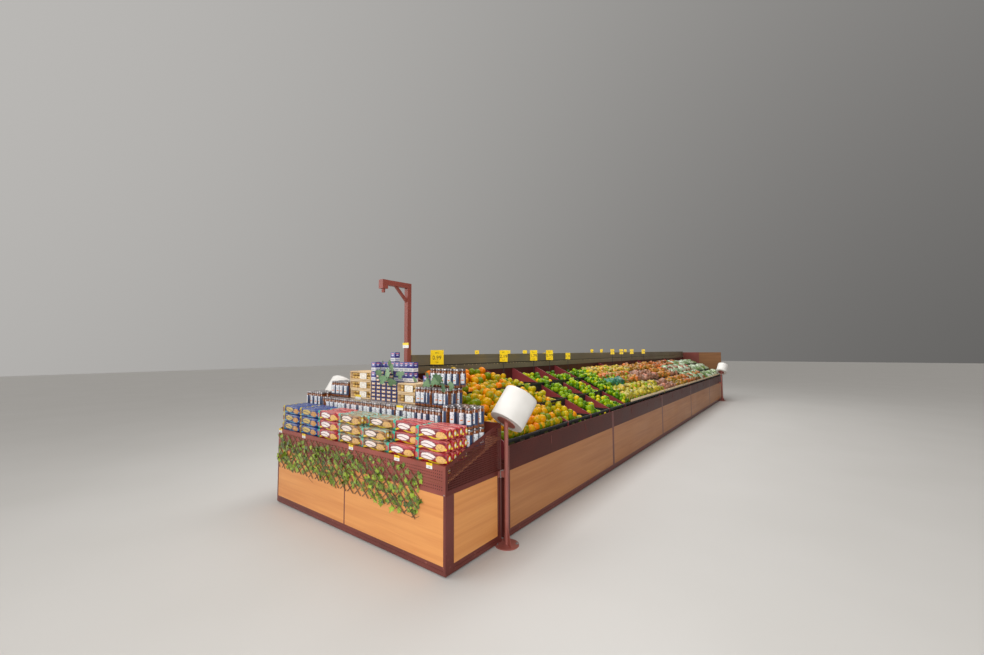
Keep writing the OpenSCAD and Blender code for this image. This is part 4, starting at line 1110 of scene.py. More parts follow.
# stacked crates of boards with slats on top, a plaque in front and two rows of wrapped balls behind the gap
def makeTrays():
    rng = np.random.default_rng(42)
    low, high = corners("wood_trays")
    tall = (high[2] - low[2]) / trays["left"][2]
    lows, highs, plaques, balls = [], [], [], []
    for x0, x1, count in (trays["left"], trays["right"]):
        for k in range(count):
            a = x0 + 0.001 + (0.012 * (k == 0 and count == 3))
            b, z = x1 - 0.001, low[2] + k * tall
            f, r, t, n = low[1] + rng.uniform(0, 0.004), high[1] - 0.001, trays["board"], trays["rail"]
            for p, q in (((a, f, z), (a + t, r, z + tall - 0.001)), ((b - t, f, z), (b, r, z + tall - 0.001)),
                         ((a + t, f, z + 0.001), (b - t, f + t, z + n)),
                         ((a + t, f, z + tall - n), (b - t, f + t, z + tall - 0.001)),
                         ((a + t, r - t, z), (b - t, r, z + tall - 0.001)),
                         ((a + t, f + t, z + 0.001), (b - t, r - t, z + t))):
                lows.append(p)
                highs.append(q)
            slat = (r - f) / 4
            for j in range(4):
                lows.append((a + t, f + j * slat + 0.002, z + tall - 0.006))
                highs.append((b - t, f + (j + 1) * slat - 0.002, z + tall - 0.001))
            centre = a + (b - a) * (0.64 + rng.uniform(-0.02, 0.02))
            pw, ph = trays["plaque"]
            plaques.append([(centre - pw / 2, f - 0.0025, z + tall / 2 - ph / 2),
                            (centre + pw / 2, f - 0.0005, z + tall / 2 + ph / 2)])
            across = int((b - a - 0.02) / 0.046)
            ballX = a + 0.01 + (b - a - 0.02) * (np.arange(across) + 0.5) / across
            gx, gz = np.meshgrid(ballX, [z + 0.0275, z + 0.065])
            balls.append(np.stack([gx.ravel(), np.full(gx.size, f + 0.029), gz.ravel()], -1))
    balls = np.concatenate(balls) + rng.uniform(-0.002, 0.002, (sum(len(b) for b in balls), 3))
    ball, ballFaces = quadSphere(2)
    wood = blocks(lows, highs, rng)
    plaque = blocks([p[0] for p in plaques], [p[1] for p in plaques], rng, pick=1)
    gold = scatter(ball, [ballFaces], balls, turns(*(rng.uniform(0, 6, len(balls)) for _ in range(3))),
                   trays["ball"], pick=2, tint=rng.random(len(balls)))
    pine = woodBoard("trayPine", (206, 168, 120), (244, 218, 176), 90.0, 6.0, 0.6)
    label, tree, shader = startMaterial("trayPlaque", 0.5)
    across, up, upright = sideFace(tree)
    fibre = noise(objectPlace(tree), 90.0)
    colour = blend(fibre, paint(244, 236, 220), paint(255, 250, 240))
    ring = blob(across, up, (0, 0), (0.62, 0.72)) - blob(across, up, (0, 0), (0.54, 0.62))
    setColour(shader, blend(ring, colour, paint(206, 184, 146)))
    setBump(shader, fibre, 0.1, 0.0004)
    foil, tree, shader = startMaterial("goldFoil", 0.3, metallic=0.3)
    crinkle = pebbles(localPlace(tree), 5.0)
    setColour(shader, blend(crinkle, paint(214, 160, 66), paint(255, 226, 150)))
    setBump(shader, crinkle, 0.5, 0.002)
    joinParts("woodTrays", [wood, plaque, gold], [pine, label, foil], angle=35, stands=["wood_trays"])


makeTrays()


# one half of an ivy leaf's outline: x, y from the stalk (0, 0) to the tip (0, 1)
leafHalf = np.array([(0.0, 0.0), (0.26, -0.16), (0.52, 0.02), (0.36, 0.2), (0.6, 0.46), (0.25, 0.56), (0.0, 1.0)])


# half the outline of a broader leaf with more points
broadHalf = np.array([(0.0, 0.0), (0.24, -0.12), (0.36, 0.06), (0.6, 0.08), (0.46, 0.28), (0.66, 0.48), (0.38, 0.5),
                      (0.22, 0.62), (0.26, 0.82), (0.0, 0.96)])


def leafShape(edge=leafHalf, fold=0.25, droop=0.3):  # a fan about the midrib, folded along it, drooping to the tip
    right = edge[1:-1]
    outline = np.concatenate([edge[:1], right, edge[-1:], right[::-1] * [-1, 1]])
    flat = np.concatenate([[[0.0, 0.32]], outline])
    z = fold * np.abs(flat[:, 0]) - droop * flat[:, 1] ** 2
    count = len(outline)
    k = np.arange(count)
    faces = np.stack([0 * k, 1 + k, 1 + (k + 1) % count], -1)
    return np.column_stack([flat, z]), faces


def leafMaterial(name, dark, light, edge):
    dark, light, edge = painted(dark, light, edge)
    material, tree, shader = startMaterial(name, 0.42, coat=0.1)
    local = localPlace(tree)
    tint = attribute(tree, "tint")
    x, y, z = axes(local)
    mottle = noise(local, 4.0, 3.0)
    mix = tint * 0.8 + mottle * 0.4
    colour = blend(fade(mix, 0.15, 1.0), dark, light)
    outer = vectorMath("DISTANCE", local, (0, 0.35, 0))["Value"]
    colour = blend(fade(outer, 0.3, 0.62) * 0.45, colour, edge)
    ribs = fade(abs(x), 0.035, 0.015).math("ADD", fade(abs(abs(x) - y * 0.9), 0.035, 0.015), clamp=True)
    return dressed(material, shader, blend(ribs * 0.5, colour, light), (mottle, 0.3, 0.55), (mottle + ribs, 0.3, 0.002))


# stands a flat leaf (tip along +Y, face along +Z) up so that it hangs tip down and faces the front
hang = np.array([[-1.0, 0, 0], [0, 0, -1], [0, -1, 0]])


def hangingTurns(rng, count, twist, nod, sway):
    spin = turns(0, rng.normal(0, twist, count), 0)
    tilt = turns(rng.normal(0, sway, count), 0, rng.normal(-0.15, nod, count))
    return tilt @ spin @ hang


# a stem as a four-sided tube through a row of points
def stemTube(path, radius):
    path = np.asarray(path, float)
    along = np.gradient(path, axis=0)
    along /= np.linalg.norm(along, axis=1, keepdims=True)
    across = np.cross(along, [0.3, 1.0, 0.2])
    across /= np.linalg.norm(across, axis=1, keepdims=True)
    other = np.cross(along, across)
    k = np.arange(4) * math.pi / 2
    ring = across[:, None] * np.cos(k)[None, :, None] + other[:, None] * np.sin(k)[None, :, None]
    points = (path[:, None] + radius * ring).reshape(-1, 3)
    return {"points": points, "faces": [gridFaces(len(path), 4, closeCols=True)], "pick": 1}


ivy = {"count": 600, "size": (0.028, 0.052), "left": -1.222, "right": 0.965, "stems": 16, "barStep": 0.10745,
       "barRise": 0.9004, "barClear": 0.014, "barTop": 0.1775, "loose": 0.30, "hem": 0.385, "crest": 0.665,
       "pressed": 0.0058}


# how far a point of the sheet lies from the nearest front bar (they fall to the right in front)
def barDistance(x, z, low, high):
    step = ivy["barStep"]
    across = (x - low[0] + (z - (high[2] - ivy["barTop"])) / ivy["barRise"]) / step - 0.5
    return np.abs(across - np.round(across)) * step * math.sin(math.atan(ivy["barRise"]))


# leaves at random places between a waving hem and crest, thin over the bars; stems fall on a straight line plus a sine
def makeIvy():
    rng = np.random.default_rng(51)
    low, high = corners("ivy_trellis")
    tries = ivy["count"] * 8
    x = rng.uniform(ivy["left"], ivy["right"], tries)
    z = rng.uniform(low[2] - 0.02, high[2] - 0.035, tries)
    wave = 0.02 * np.sin(x * 9.0) + 0.016 * np.sin(x * 23.0 + 1.0)
    hem = ivy["hem"] + wave - 0.055 * np.clip((x - 0.2) / 0.7, 0, 1)
    crest = ivy["crest"] + 0.02 * np.sin(x * 5.0 + 2.0) - 0.06 * np.clip((x - 0.2) / 0.6, 0, 1)
    thick = np.where(z < hem, 0.0, np.where(z < crest, 1.0, 0.2))
    thick = thick * np.clip((z - hem) / 0.04 + 0.35, 0, 1)
    bare = barDistance(x, z, low, high) < ivy["barClear"]
    keep = rng.random(tries) < thick * np.where(bare, 0.15, 1.0)
    x, z = x[keep][:ivy["count"]], z[keep][:ivy["count"]]
    count = len(x)
    size = rng.uniform(*ivy["size"], count)
    depth = low[1] + 0.007 - rng.uniform(0.0, 0.010, count)
    spots = np.stack([x, depth, z + size * 0.5], -1)
    tint = np.clip(rng.normal(0.42, 0.34, count), 0, 1)
    loose, leaves = rng.random(count) < ivy["loose"], []
    for chosen, bend, tilt in ((loose, (0.25, 0.3), (0.45, 0.5)), (~loose, (0.05, 0.05), (0.05, 0.06))):
        shape, faces = leafShape(leafHalf, *bend)
        place = spots[chosen] if chosen is loose else spots[chosen] * [1, 0, 1] + [0, low[1] + ivy["pressed"], 0]
        leaves.append(scatter(shape, [faces], place, hangingTurns(rng, int(chosen.sum()), 0.9, *tilt), size[chosen],
                              tint=tint[chosen]))
    stems = []
    for k in range(ivy["stems"]):
        t = np.linspace(0, 1, 12)
        x0, reach = rng.uniform(ivy["left"], ivy["right"] - 0.5), rng.uniform(0.3, 0.7)
        z0 = rng.uniform(0.44, 0.68)
        along = np.clip(x0 + reach * t, ivy["left"], ivy["right"])
        out = low[1] - 0.002 - 0.008 * np.sin(t * 9 + k) ** 2
        stems.append(stemTube(np.stack([along, out, z0 - 0.12 * t + 0.035 * np.sin(t * 7 + k * 1.7)], -1), 0.0014))
    leaf = leafMaterial("ivyLeaf", (26, 56, 10), (168, 192, 48), (60, 96, 18))
    stalk = mouldedPlastic("ivyStem", (82, 60, 40), (120, 96, 70), 0.7)
    joinParts("ivyLeaves", leaves + stems, [leaf, stalk])


makeIvy()


garland = {
    # x, z and size of each leaf hanging over the tins and jars
    "leaves": [(0.122, 1.449, 0.075), (0.171, 1.40, 0.12), (-0.026, 1.35, 0.10), (0.296, 1.35, 0.09),
               (0.076, 1.29, 0.105), (0.185, 1.275, 0.085), (0.702, 1.345, 0.10), (0.825, 1.325, 0.12),
               (0.672, 1.285, 0.08), (0.985, 1.28, 0.085), (0.035, 1.466, 0.06), (0.492, 1.31, 0.06),
               (0.13, 1.34, 0.10), (0.76, 1.30, 0.09), (0.90, 1.25, 0.08)],
    "frontY": -6.16, "scale": 0.82,
}


# leaves at given places, their stems straight from one leaf to the next
def makeGarland():
    rng = np.random.default_rng(52)
    shape, faces = leafShape(broadHalf, 0.15, 0.35)
    spots = np.array([(x, garland["frontY"] - 0.012 - (0.05 if x > 0.6 else 0.0), z + s * 0.45)
                      for x, z, s in garland["leaves"]])
    sizes = np.array([s for x, z, s in garland["leaves"]]) * garland["scale"]
    count = len(spots)
    leaves = scatter(shape * [1.25, 1, 0.7], [faces], spots, hangingTurns(rng, count, 0.7, 0.25, 0.35), sizes,
                     tint=rng.random(count))
    stems = []
    for chosen in (spots[:, 0] < 0.4, spots[:, 0] > 0.45):
        path = spots[chosen][np.argsort(spots[chosen][:, 0])] + [0, 0.006, 0]
        t, fine = np.linspace(0, 1, len(path)), np.linspace(0, 1, 24)
        stems.append(stemTube(np.stack([np.interp(fine, t, path[:, a]) for a in range(3)], -1), 0.0016))
    leaf = leafMaterial("garlandLeaf", (40, 78, 40), (132, 166, 122), (70, 108, 66))
    stalk = mouldedPlastic("garlandStem", (96, 116, 80), (140, 150, 120), 0.6)
    joinParts("garlandLeaves", [leaves] + stems, [leaf, stalk])


makeGarland()
print("head stock dressed")


# Bag rolls

rollSpec = {"pole": (1.277, -5.88235, 5.87065), "flangeZ": (0.982, 0.887), "lean": 39.0, "turn": 15.0,
            "lift": 0.0043, "radius": 0.150, "length": 0.270, "bore": 0.019, "core": 0.024, "tail": 0.055}


def onSpindle(points, side, far):  # from the roll's own upright frame to its place on a stand
    lean, turn = math.radians(rollSpec["lean"]), math.radians(rollSpec["turn"])
    aboutX = np.array([[1, 0, 0], [0, math.cos(lean), math.sin(lean)], [0, -math.sin(lean), math.cos(lean)]])
    aboutZ = np.array([[math.cos(turn), math.sin(turn), 0], [-math.sin(turn), math.cos(turn), 0], [0, 0, 1]])
    x, near, away = rollSpec["pole"]
    placed = points @ (aboutZ @ aboutX).T + [x, away if far else near, rollSpec["flangeZ"][far]]
    return placed * [side, 1, 1]


def facingAway(points, faces, s):  # faces turned away from the middle ring of the wound film
    heart = points[faces].mean(1) * [1, 1, 0]
    heart *= (s["radius"] + s["core"]) / 2 / np.linalg.norm(heart, axis=1, keepdims=True)
    return facingOut(points, faces, heart + [0, 0, s["lift"] + s["length"] / 2])


# the film's face is rings of the radius less its slack at the rims plus two sine waves round it; each end is rings that
# shrink to the core, dished at random; the loose end leaves the roll by the 1.5th power of its length
def makeRoll(side, far, film, core):
    rng = np.random.default_rng(61 + far + 2 * (side > 0))
    s = rollSpec
    turnAt = np.arange(72) * 2 * math.pi / 72
    ring = np.stack([np.cos(turnAt), np.sin(turnAt)], -1)
    heights = s["lift"] + s["length"] * np.array([0, 0.01, 0.06, 0.2, 0.4, 0.6, 0.8, 0.94, 0.99, 1.0])
    slack = np.array([-0.0018, 0, 0, 0, 0, 0, 0, 0, 0, -0.0018])
    wave = 0.0009 * np.sin(turnAt * 3 + 1) + 0.0006 * np.sin(turnAt * 7)
    outer = (s["radius"] - 0.0016 + slack[:, None] + wave[None])[..., None] * ring[None]
    outer = np.concatenate([outer, np.repeat(heights[:, None, None], 72, 1)], -1)
    radii = np.linspace(s["radius"] - 0.004, s["core"], 12)
    faces = [gridFaces(10, 72, closeCols=True)]
    points, start = [outer.reshape(-1, 3)], 720
    for z, up in ((heights[0], -1), (heights[-1], 1)):
        dish = rng.uniform(-0.0007, 0.0004, 12) - 0.001
        flat = np.concatenate([radii[:, None, None] * ring[None],
                               np.repeat((z + up * dish)[:, None, None], 72, 1)], -1).reshape(-1, 3)
        flat = np.concatenate([outer[0 if up < 0 else -1], flat])
        faces.append(start + gridFaces(13, 72, closeCols=True))
        points.append(flat)
        start += len(flat)
    points = np.concatenate(points)
    sheet = {"points": points, "faces": [facingAway(points, f, s) for f in faces]}
    tube = np.array([[s["core"], heights[0] - 0.0008], [s["core"], heights[-1] + 0.0008],
                     [s["bore"] + 0.0002, heights[-1] + 0.0008], [s["bore"] + 0.0002, heights[0] - 0.0008]])
    rings = np.concatenate([tube[:, None, :1] * ring[None], np.repeat(tube[:, None, 1:], 72, 1)], -1)
    inner = {"points": rings.reshape(-1, 3), "faces": [gridFaces(4, 72, closeRows=True, closeCols=True)[:, ::-1]],
             "pick": 1}
    v = np.linspace(0, 1, 9)
    h = heights[0] + 0.012 + (s["length"] - 0.024) * np.linspace(0, 1, 14)
    lift, out = 0.0012 + 0.010 * v ** 1.5, s["tail"] * v
    angle0 = math.radians(120)
    swing = angle0 + out / s["radius"] * 0.9
    r = (s["radius"] + lift)[:, None] + 0.0012 * np.sin(h * 60 + 1)[None] * v[:, None]
    flap = np.stack([r * np.cos(swing)[:, None], r * np.sin(swing)[:, None], np.repeat(h[None], 9, 0)], -1)
    tail = {"points": flap.reshape(-1, 3), "faces": [gridFaces(9, 14)]}
    parts = [sheet, inner, tail]
    for part in parts:
        part["points"] = onSpindle(part["points"], side, far)
        if side < 0:
            part["faces"] = [f[:, ::-1] for f in part["faces"]]
        part["values"] = {"tint": 0.5}
    node = "bag_roll_%s_%s" % ("right" if side > 0 else "left", "far" if far else "near")
    words = node.split("_")
    joinParts("wound" + words[2].title() + words[3].title(), parts, [film, core], body=node,
              stands=[node], angle=35)


def filmMaterial():
    material, tree, shader = startMaterial("bagFilm", 0.42, coat=0.08)
    place = objectPlace(tree)
    wide = noise(place, 5.0)
    lines = noise(vectorMath("MULTIPLY", place, (24.0, 24.0, 24.0))[0], 3.0, 6.0,
                  Roughness=0.7, Distortion=0.6)
    colour = blend(fade(wide, 0.3, 0.7), paint(226, 222, 216), paint(240, 237, 232))
    return dressed(material, shader, colour, (wide, 0.34, 0.52), (lines, 0.14, 0.002))


film, coreBoard = filmMaterial(), woodBoard("coreBoard", (150, 120, 86), (184, 152, 112), 200.0, 200.0, 0.8)
for side in (1, -1):
    for far in (0, 1):
        makeRoll(side, far, film, coreBoard)
print("rolls wound")


# Nets, sacks and wrapped greens at the far end

# a filled bag: the outermost skin of a cluster of balls seen from its middle, r = c.d + sqrt(R^2 - c.c + (c.d)^2)
def filledBag(rng, half, ballSize, balls, cuts):
    directions, faces = quadSphere(cuts)
    spin = rng.normal(0, 1, (balls, 3))
    centres = spin / np.linalg.norm(spin, axis=1, keepdims=True) * rng.uniform(0.55, 1.0, (balls, 1)) * half
    girth = ballSize * rng.uniform(0.85, 1.1, balls)
    toward = directions @ centres.T
    under = girth ** 2 - (centres ** 2).sum(1) + toward ** 2
    reach = np.where(under > 0, toward + np.sqrt(np.maximum(under, 0)), 0)
    core = 0.8 / np.linalg.norm(directions / half, axis=1)
    outer = np.maximum(reach.max(1), core)
    tone = np.where(reach.max(1) > core, rng.random(balls)[reach.argmax(1)], 0.5)
    # near 1 where the two outermost balls meet in a crease; the net material paints shade there
    ranked = np.sort(reach, axis=1)
    dip = np.exp(-(ranked[:, -1] - ranked[:, -2]) / (0.16 * ballSize))
    return directions * outer[:, None], faces, {"tone": tone, "dip": dip}


# a slack pillow pack: |x|^4 + |y|^4 + |z|^2.4 = 1, lumpy with leaves, its film drawn flat to the two sealed ends
def pillowPack(rng, half, cuts):
    directions, faces = quadSphere(cuts)
    size = (np.abs(directions) ** [4.0, 4.0, 2.4]).sum(1) ** (-1 / 3.2)
    points = directions * size[:, None]
    crease = np.sin(points[:, 0] * 9 + rng.uniform(0, 6)) * np.sin(points[:, 1] * 13 + rng.uniform(0, 6))
    lump = np.sin(points[:, 0] * 5 + rng.uniform(0, 6)) * np.cos(points[:, 1] * 6 + rng.uniform(0, 6))
    points = points * (1 + 0.06 * crease + 0.10 * lump)[:, None]
    points[:, 2] *= 1 - 0.75 * np.abs(points[:, 1]) ** 4
    return points * half, faces, {"tone": 0.5 + 0.5 * crease, "dip": 0 * crease}


bags = {
    # half: half sizes of a bag; ball, balls: radius and number of the fruits in it, none in a pack;
    # tiers: for each tier, pairs of the column up to which a kind is laid and the kind's number in bagKinds
    "nets": {"stands": ["bagged_citrus"], "slot": "net_bag", "columns": (8, 12), "fill": 0.85,
             "half": (0.115, 0.085, 0.055), "ball": 0.038, "balls": 24, "cuts": 7, "seed": 71,
             "tiers": [[(8.6, 0), (10.2, 4), (12, 1)], [(10.4, 4), (12, 1)], [(9, 2), (12, 1)]]},
    "sacks": {"stands": ["mesh_sacks"], "slot": "mesh_sack", "columns": (12, 16), "fill": 0.90,
              "half": (0.125, 0.090, 0.060), "ball": 0.036, "balls": 28, "cuts": 7, "seed": 72,
              "tiers": [[(16, 3)], [(16, 4)], [(16, 3)]]},
    "greens": {"stands": ["packed_greens"], "slot": "wrapped_greens", "columns": (16, 20), "fill": 0.70,
               "half": (0.120, 0.082, 0.048), "balls": 0, "cuts": 6, "seed": 73, "tiers": [[(20, 5)]] * 3},
    # single layers lying on the next heap nearer the head
    "netsOnLimes": {"stands": [], "slot": "net_bag", "columns": (5, 8), "starts": (5.35, 5.7, 6.0), "fill": 0.95,
                    "sink": 0.004, "half": (0.115, 0.085, 0.055), "ball": 0.038, "balls": 24, "cuts": 7, "seed": 74,
                    "tiers": [[(8, 0)], [(8, 1)], [(8, 2)]]},
    "greensOnSacks": {"stands": [], "slot": "wrapped_greens", "columns": (12, 16), "starts": (12.9, 12.4, 14.8),
                      "fill": 1.0, "sink": -0.018, "half": (0.120, 0.082, 0.048), "balls": 0, "cuts": 6,
                      "seed": 75, "tiers": [[(16, 5)]] * 3},
    "variants": 5, "across": 3, "up": 2, "sink": 0.024,
}


def netMaterial(name, low, middle, high, cord, lines):
    low, middle, high, cord = painted(low, middle, high, cord)
    material, tree, shader = startMaterial(name, 0.45, coat=0.08)
    local = localPlace(tree)
    tone = attribute(tree, "tone") * 0.7 + attribute(tree, "tint") * 0.3
    cloud = noise(local, 30.0)
    tone = tone + (cloud - 0.5) * 0.5
    colour = blend(fade(tone, 0.1, 0.5), low, middle)
    colour = blend(fade(tone, 0.6, 0.9), colour, high)
    x, y, z = axes(local)
    cords = []
    for sign in ("ADD", "SUBTRACT"):
        slant = ((x + z).math(sign, y) * lines).math("FRACT")
        cords.append(fade(abs(slant - 0.5), 0.41, 0.46))
    net = calc(tree, "MAXIMUM", *cords)
    colour = blend(net * 0.45, colour, cord)
    # painted shade: darker in the creases between the fruits in the bag
    shade = fade(attribute(tree, "dip"), 0.15, 0.85) * 0.85
    return dressed(material, shader, blend(shade, colour, paint(58, 44, 12)), (net, 0.36, 0.75), (net, 0.4, 0.0015))


def greensMaterial():
    material, tree, shader = startMaterial("wrappedGreens", 0.25, coat=0.5)
    local = localPlace(tree)
    tint = attribute(tree, "tint")
    shift = vectorMath("ADD", local, put(tree, "CombineXYZ", {0: tint, 1: tint})[0])[0]
    leafy = noise(shift, 28.0, 4.0, Distortion=1.2)
    veins = pebbles(shift, 34.0)
    colour = blend(fade(leafy, 0.38, 0.58), paint(28, 68, 20), paint(118, 160, 66))
    pale = fade(veins, 0.25, 0.5) * fade(tint, 0.1, 0.9)
    colour = blend(pale, colour, paint(206, 218, 190))
    stalks = noise(vectorMath("MULTIPLY", shift, (14.0, 90.0, 60.0))[0], 1.0)
    stalks = fade(stalks, 0.55, 0.65) * fade(tint, 0.4, 0.6)
    colour = blend(stalks, colour, paint(234, 240, 224))
    setColour(shader, colour)
    film = noise(shift, 60.0, 3.0, Distortion=2.0)
    setRoughness(shader, film, 0.1, 0.5)
    setBump(shader, film, 0.6, 0.004)
    return material


bagKinds = [
    netMaterial("netLime", (116, 122, 8), (184, 168, 14), (222, 158, 16), (206, 184, 44), 62.0),
    netMaterial("netOrange", (108, 104, 10), (182, 122, 14), (222, 104, 12), (190, 112, 30), 62.0),
    netMaterial("netYellow", (118, 126, 8), (200, 166, 12), (230, 146, 14), (210, 170, 34), 62.0),
    netMaterial("sackOrange", (96, 76, 12), (172, 96, 18), (222, 100, 14), (146, 74, 30), 90.0),
    netMaterial("sackBrown", (104, 68, 46), (168, 116, 86), (202, 122, 94), (160, 100, 86), 90.0),
    greensMaterial(),
    netMaterial("netTeal", (6, 84, 62), (12, 114, 84), (70, 140, 60), (10, 130, 96), 62.0),
    mouldedPlastic("bagShade", (30, 26, 14), (62, 60, 30), 0.9),
]


# bags laid in a grid on the heap's slope, each turned across it and a little at random
def makeBags(name):
    spec = bags[name]
    rng = np.random.default_rng(spec["seed"])
    c0, c1 = spec["columns"]
    heap = (spec["fill"], spec["fill"], 0.0)
    parts, used = [], sorted({kind for tier in spec["tiers"] for until, kind in tier}) + [6, 7]
    for tier in range(3):
        front, back = heapSpan(tier)
        for side in (1, -1):
            places = np.arange(spec.get("starts", (c0,) * 3)[tier] + 0.5 / bags["across"], c1, 1 / bags["across"])
            cells = [((i + 0.5) / bags["up"], place, 0.0) for place in places for i in range(bags["up"])]
            if spec["stands"]:
                cells += [(0.5, c + 0.5 + rng.uniform(-0.2, 0.2), 0.045) for c in range(c0, c1)]
            cells = np.array(cells)
            count = len(cells)
            share = np.clip(cells[:, 0] + rng.uniform(-0.05, 0.05, count), 0.27, 0.8)
            y = run["start"] + run["columnLength"] * cells[:, 1] + rng.uniform(-0.02, 0.02, count)
            y0, y1 = columnSpan((c0, c1))
            y = np.clip(y, y0 + 0.1, y1 - 0.1)
            tilt = heapTilt(tier, spec["fill"], share)
            z = heapHeight(tier, spec["fill"], share) - spec.get("sink", bags["sink"]) + cells[:, 2]
            spots = np.stack([(front + (back - front) * share) * side, y, z], -1)
            spin = turns(0, tilt * side, 0) @ turns(
                math.pi / 2 + rng.normal(0, 0.4, count), rng.normal(0, 0.12, count), rng.normal(0, 0.12, count))
            variant = rng.integers(0, bags["variants"], count)
            until, kinds = (np.array(column) for column in zip(*spec["tiers"][tier]))
            worn = kinds[np.minimum(np.searchsorted(until, cells[:, 1]), len(kinds) - 1)]
            if name == "netsOnLimes" and tier == 1:
                worn[(cells[:, 1] < places[0] + 0.8) & (cells[:, 0] < 0.5)] = 6
            for v in range(bags["variants"]):
                for kind in sorted(set(worn)):
                    chosen = (variant == v) & (worn == kind)
                    if not chosen.any():
                        continue
                    shapeRng = np.random.default_rng(spec["seed"] * 10 + v)
                    half = np.array(spec["half"])
                    shape, faces, look = (filledBag(shapeRng, half, spec["ball"], spec["balls"], spec["cuts"])
                                          if spec["balls"] else pillowPack(shapeRng, half, spec["cuts"]))
                    part = scatter(shape, [faces], spots[chosen], spin[chosen], 1.0, pick=used.index(kind),
                                   tint=rng.random(int(chosen.sum())))
                    part["values"].update({key: np.tile(value, int(chosen.sum())) for key, value in look.items()})
                    parts.append(part)
            # a dark sheet under the bags: painted shade in the gaps between them
            if spec["stands"]:
                parts.append(heapShadeSheet(tier, (c0, c1), heap, 0.035, side, len(used) - 1))
    joinParts(name, parts, [bagKinds[k] for k in used], stands=spec["stands"])


for bagName in ("nets", "sacks", "greens", "netsOnLimes", "greensOnSacks"):
    makeBags(bagName)
print("bags laid out")


# Price cards, shelf labels and small fittings

def cardFace(name, ground, edge, low=None):
    material, tree, shader = startMaterial(name, 0.3, coat=0.2)
    place = objectPlace(tree)
    cloud = noise(place, 14.0, 3.0)
    colour = blend(fade(cloud, 0.3, 0.7), ground, edge)
    if low:
        height = axes(place)["Z"]
        colour = blend(fade(height, low[0] + 0.0006, low[0] - 0.0006), colour, low[1])
    return dressed(material, shader, colour, (cloud, 0.2, 0.42), (cloud, 0.1, 0.0006))


def letters(words, height):  # words as flat triangles in X and Z, centred, facing -Y
    curve = bpy.data.curves.new("words", "FONT")
    curve.body, curve.size, curve.resolution_u = words, height, 2
    curve.align_x, curve.align_y = "CENTER", "CENTER"
    holder = bpy.data.objects.new("words", curve)
    mesh = bpy.data.meshes.new_from_object(holder)
    mesh.calc_loop_triangles()
    flat = np.empty(len(mesh.vertices) * 3, np.float32)
    mesh.vertices.foreach_get("co", flat)
    tris = np.empty(len(mesh.loop_triangles) * 3, np.int32)
    mesh.loop_triangles.foreach_get("vertices", tris)
    bpy.data.objects.remove(holder)
    bpy.data.meshes.remove(mesh)
    flat = flat.reshape(-1, 3)
    return np.stack([flat[:, 0], 0 * flat[:, 0], flat[:, 1]], -1), tris.reshape(-1, 3)


# the points of each separate solid of a CAD node, found by spreading the lowest point number along its edges
def solidsOf(node):
    mesh = cad[node].data
    points = np.empty(len(mesh.vertices) * 3, np.float32)
    mesh.vertices.foreach_get("co", points)
    points, same = np.unique(points.reshape(-1, 3).round(5), axis=0, return_inverse=True)
    ends = np.empty(len(mesh.edges) * 2, np.int32)
    mesh.edges.foreach_get("vertices", ends)
    ends = same.ravel()[ends].reshape(-1, 2)
    label, before = np.arange(len(points)), None
    while before is None or (label != before).any():
        before = label.copy()
        least = label[ends].min(1)
        np.minimum.at(label, ends[:, 0], least)
        np.minimum.at(label, ends[:, 1], least)
    return [points[label == k] for k in np.unique(label)]


# lines: words or None for the price, place up the card and size, both as shares of its height
cards = {"turn": 20.0, "proud": 0.0021, "lines": [("4011", 0.80, 0.15), (None, 0.46, 0.40), ("2.58", 0.14, 0.13)],
         "prices": ["1.29", "0.99", "1.49", "2.19", "0.89", "1.79"]}


# flat words a little in front of each card and label, turned with the card
def makeCardPrint():
    parts = []
    solids = solidsOf("price_cards")
    for number, solid in enumerate(sorted(solids, key=lambda q: (round(float(q[:, 1].min()), 2), q[0, 0]))):
        low, high = solid.min(0), solid.max(0)
        middle, tall = (low + high) / 2, high[2] - low[2]
        turn = math.radians(cards["turn"]) * np.sign(middle[0])
        price = cards["prices"][number % len(cards["prices"])]
        for words, up, size in cards["lines"]:
            points, tris = letters(words or price, size * tall)
            points = points + [0, -cards["proud"], 0]
            x = points[:, 0] * math.cos(turn) - points[:, 1] * math.sin(turn)
            y = points[:, 0] * math.sin(turn) + points[:, 1] * math.cos(turn)
            parts.append({"points": np.stack([x + middle[0], y + middle[1], points[:, 2] + low[2] + up * tall], -1),
                          "faces": [tris]})
    for number, solid in enumerate(solidsOf("shelf_labels")):
        low, high = solid.min(0), solid.max(0)
        for words, up, size in (("1.%d9" % (number + 1), 0.22, 0.36), ("0410", 0.80, 0.24)):
            points, tris = letters(words, size * (high[2] - low[2]))
            place = [(low[0] + high[0]) / 2, low[1] - 0.0006, low[2] + up * (high[2] - low[2])]
            parts.append({"points": points + place, "faces": [tris]})
    ink = mouldedPlastic("cardInk", (34, 28, 20), (50, 42, 30), 0.6)
    joinParts("cardPrint", parts, [ink], smooth=False)


finish(cardFace("priceCard", paint(250, 206, 0), paint(255, 222, 0)), "price_cards")
labelLow, labelHigh = corners("shelf_labels")
finish(cardFace("shelfLabel", paint(240, 200, 10), paint(252, 216, 30),
                (labelLow[2] + 0.55 * (labelHigh[2] - labelLow[2]), paint(236, 234, 232))), "shelf_labels")
makeCardPrint()


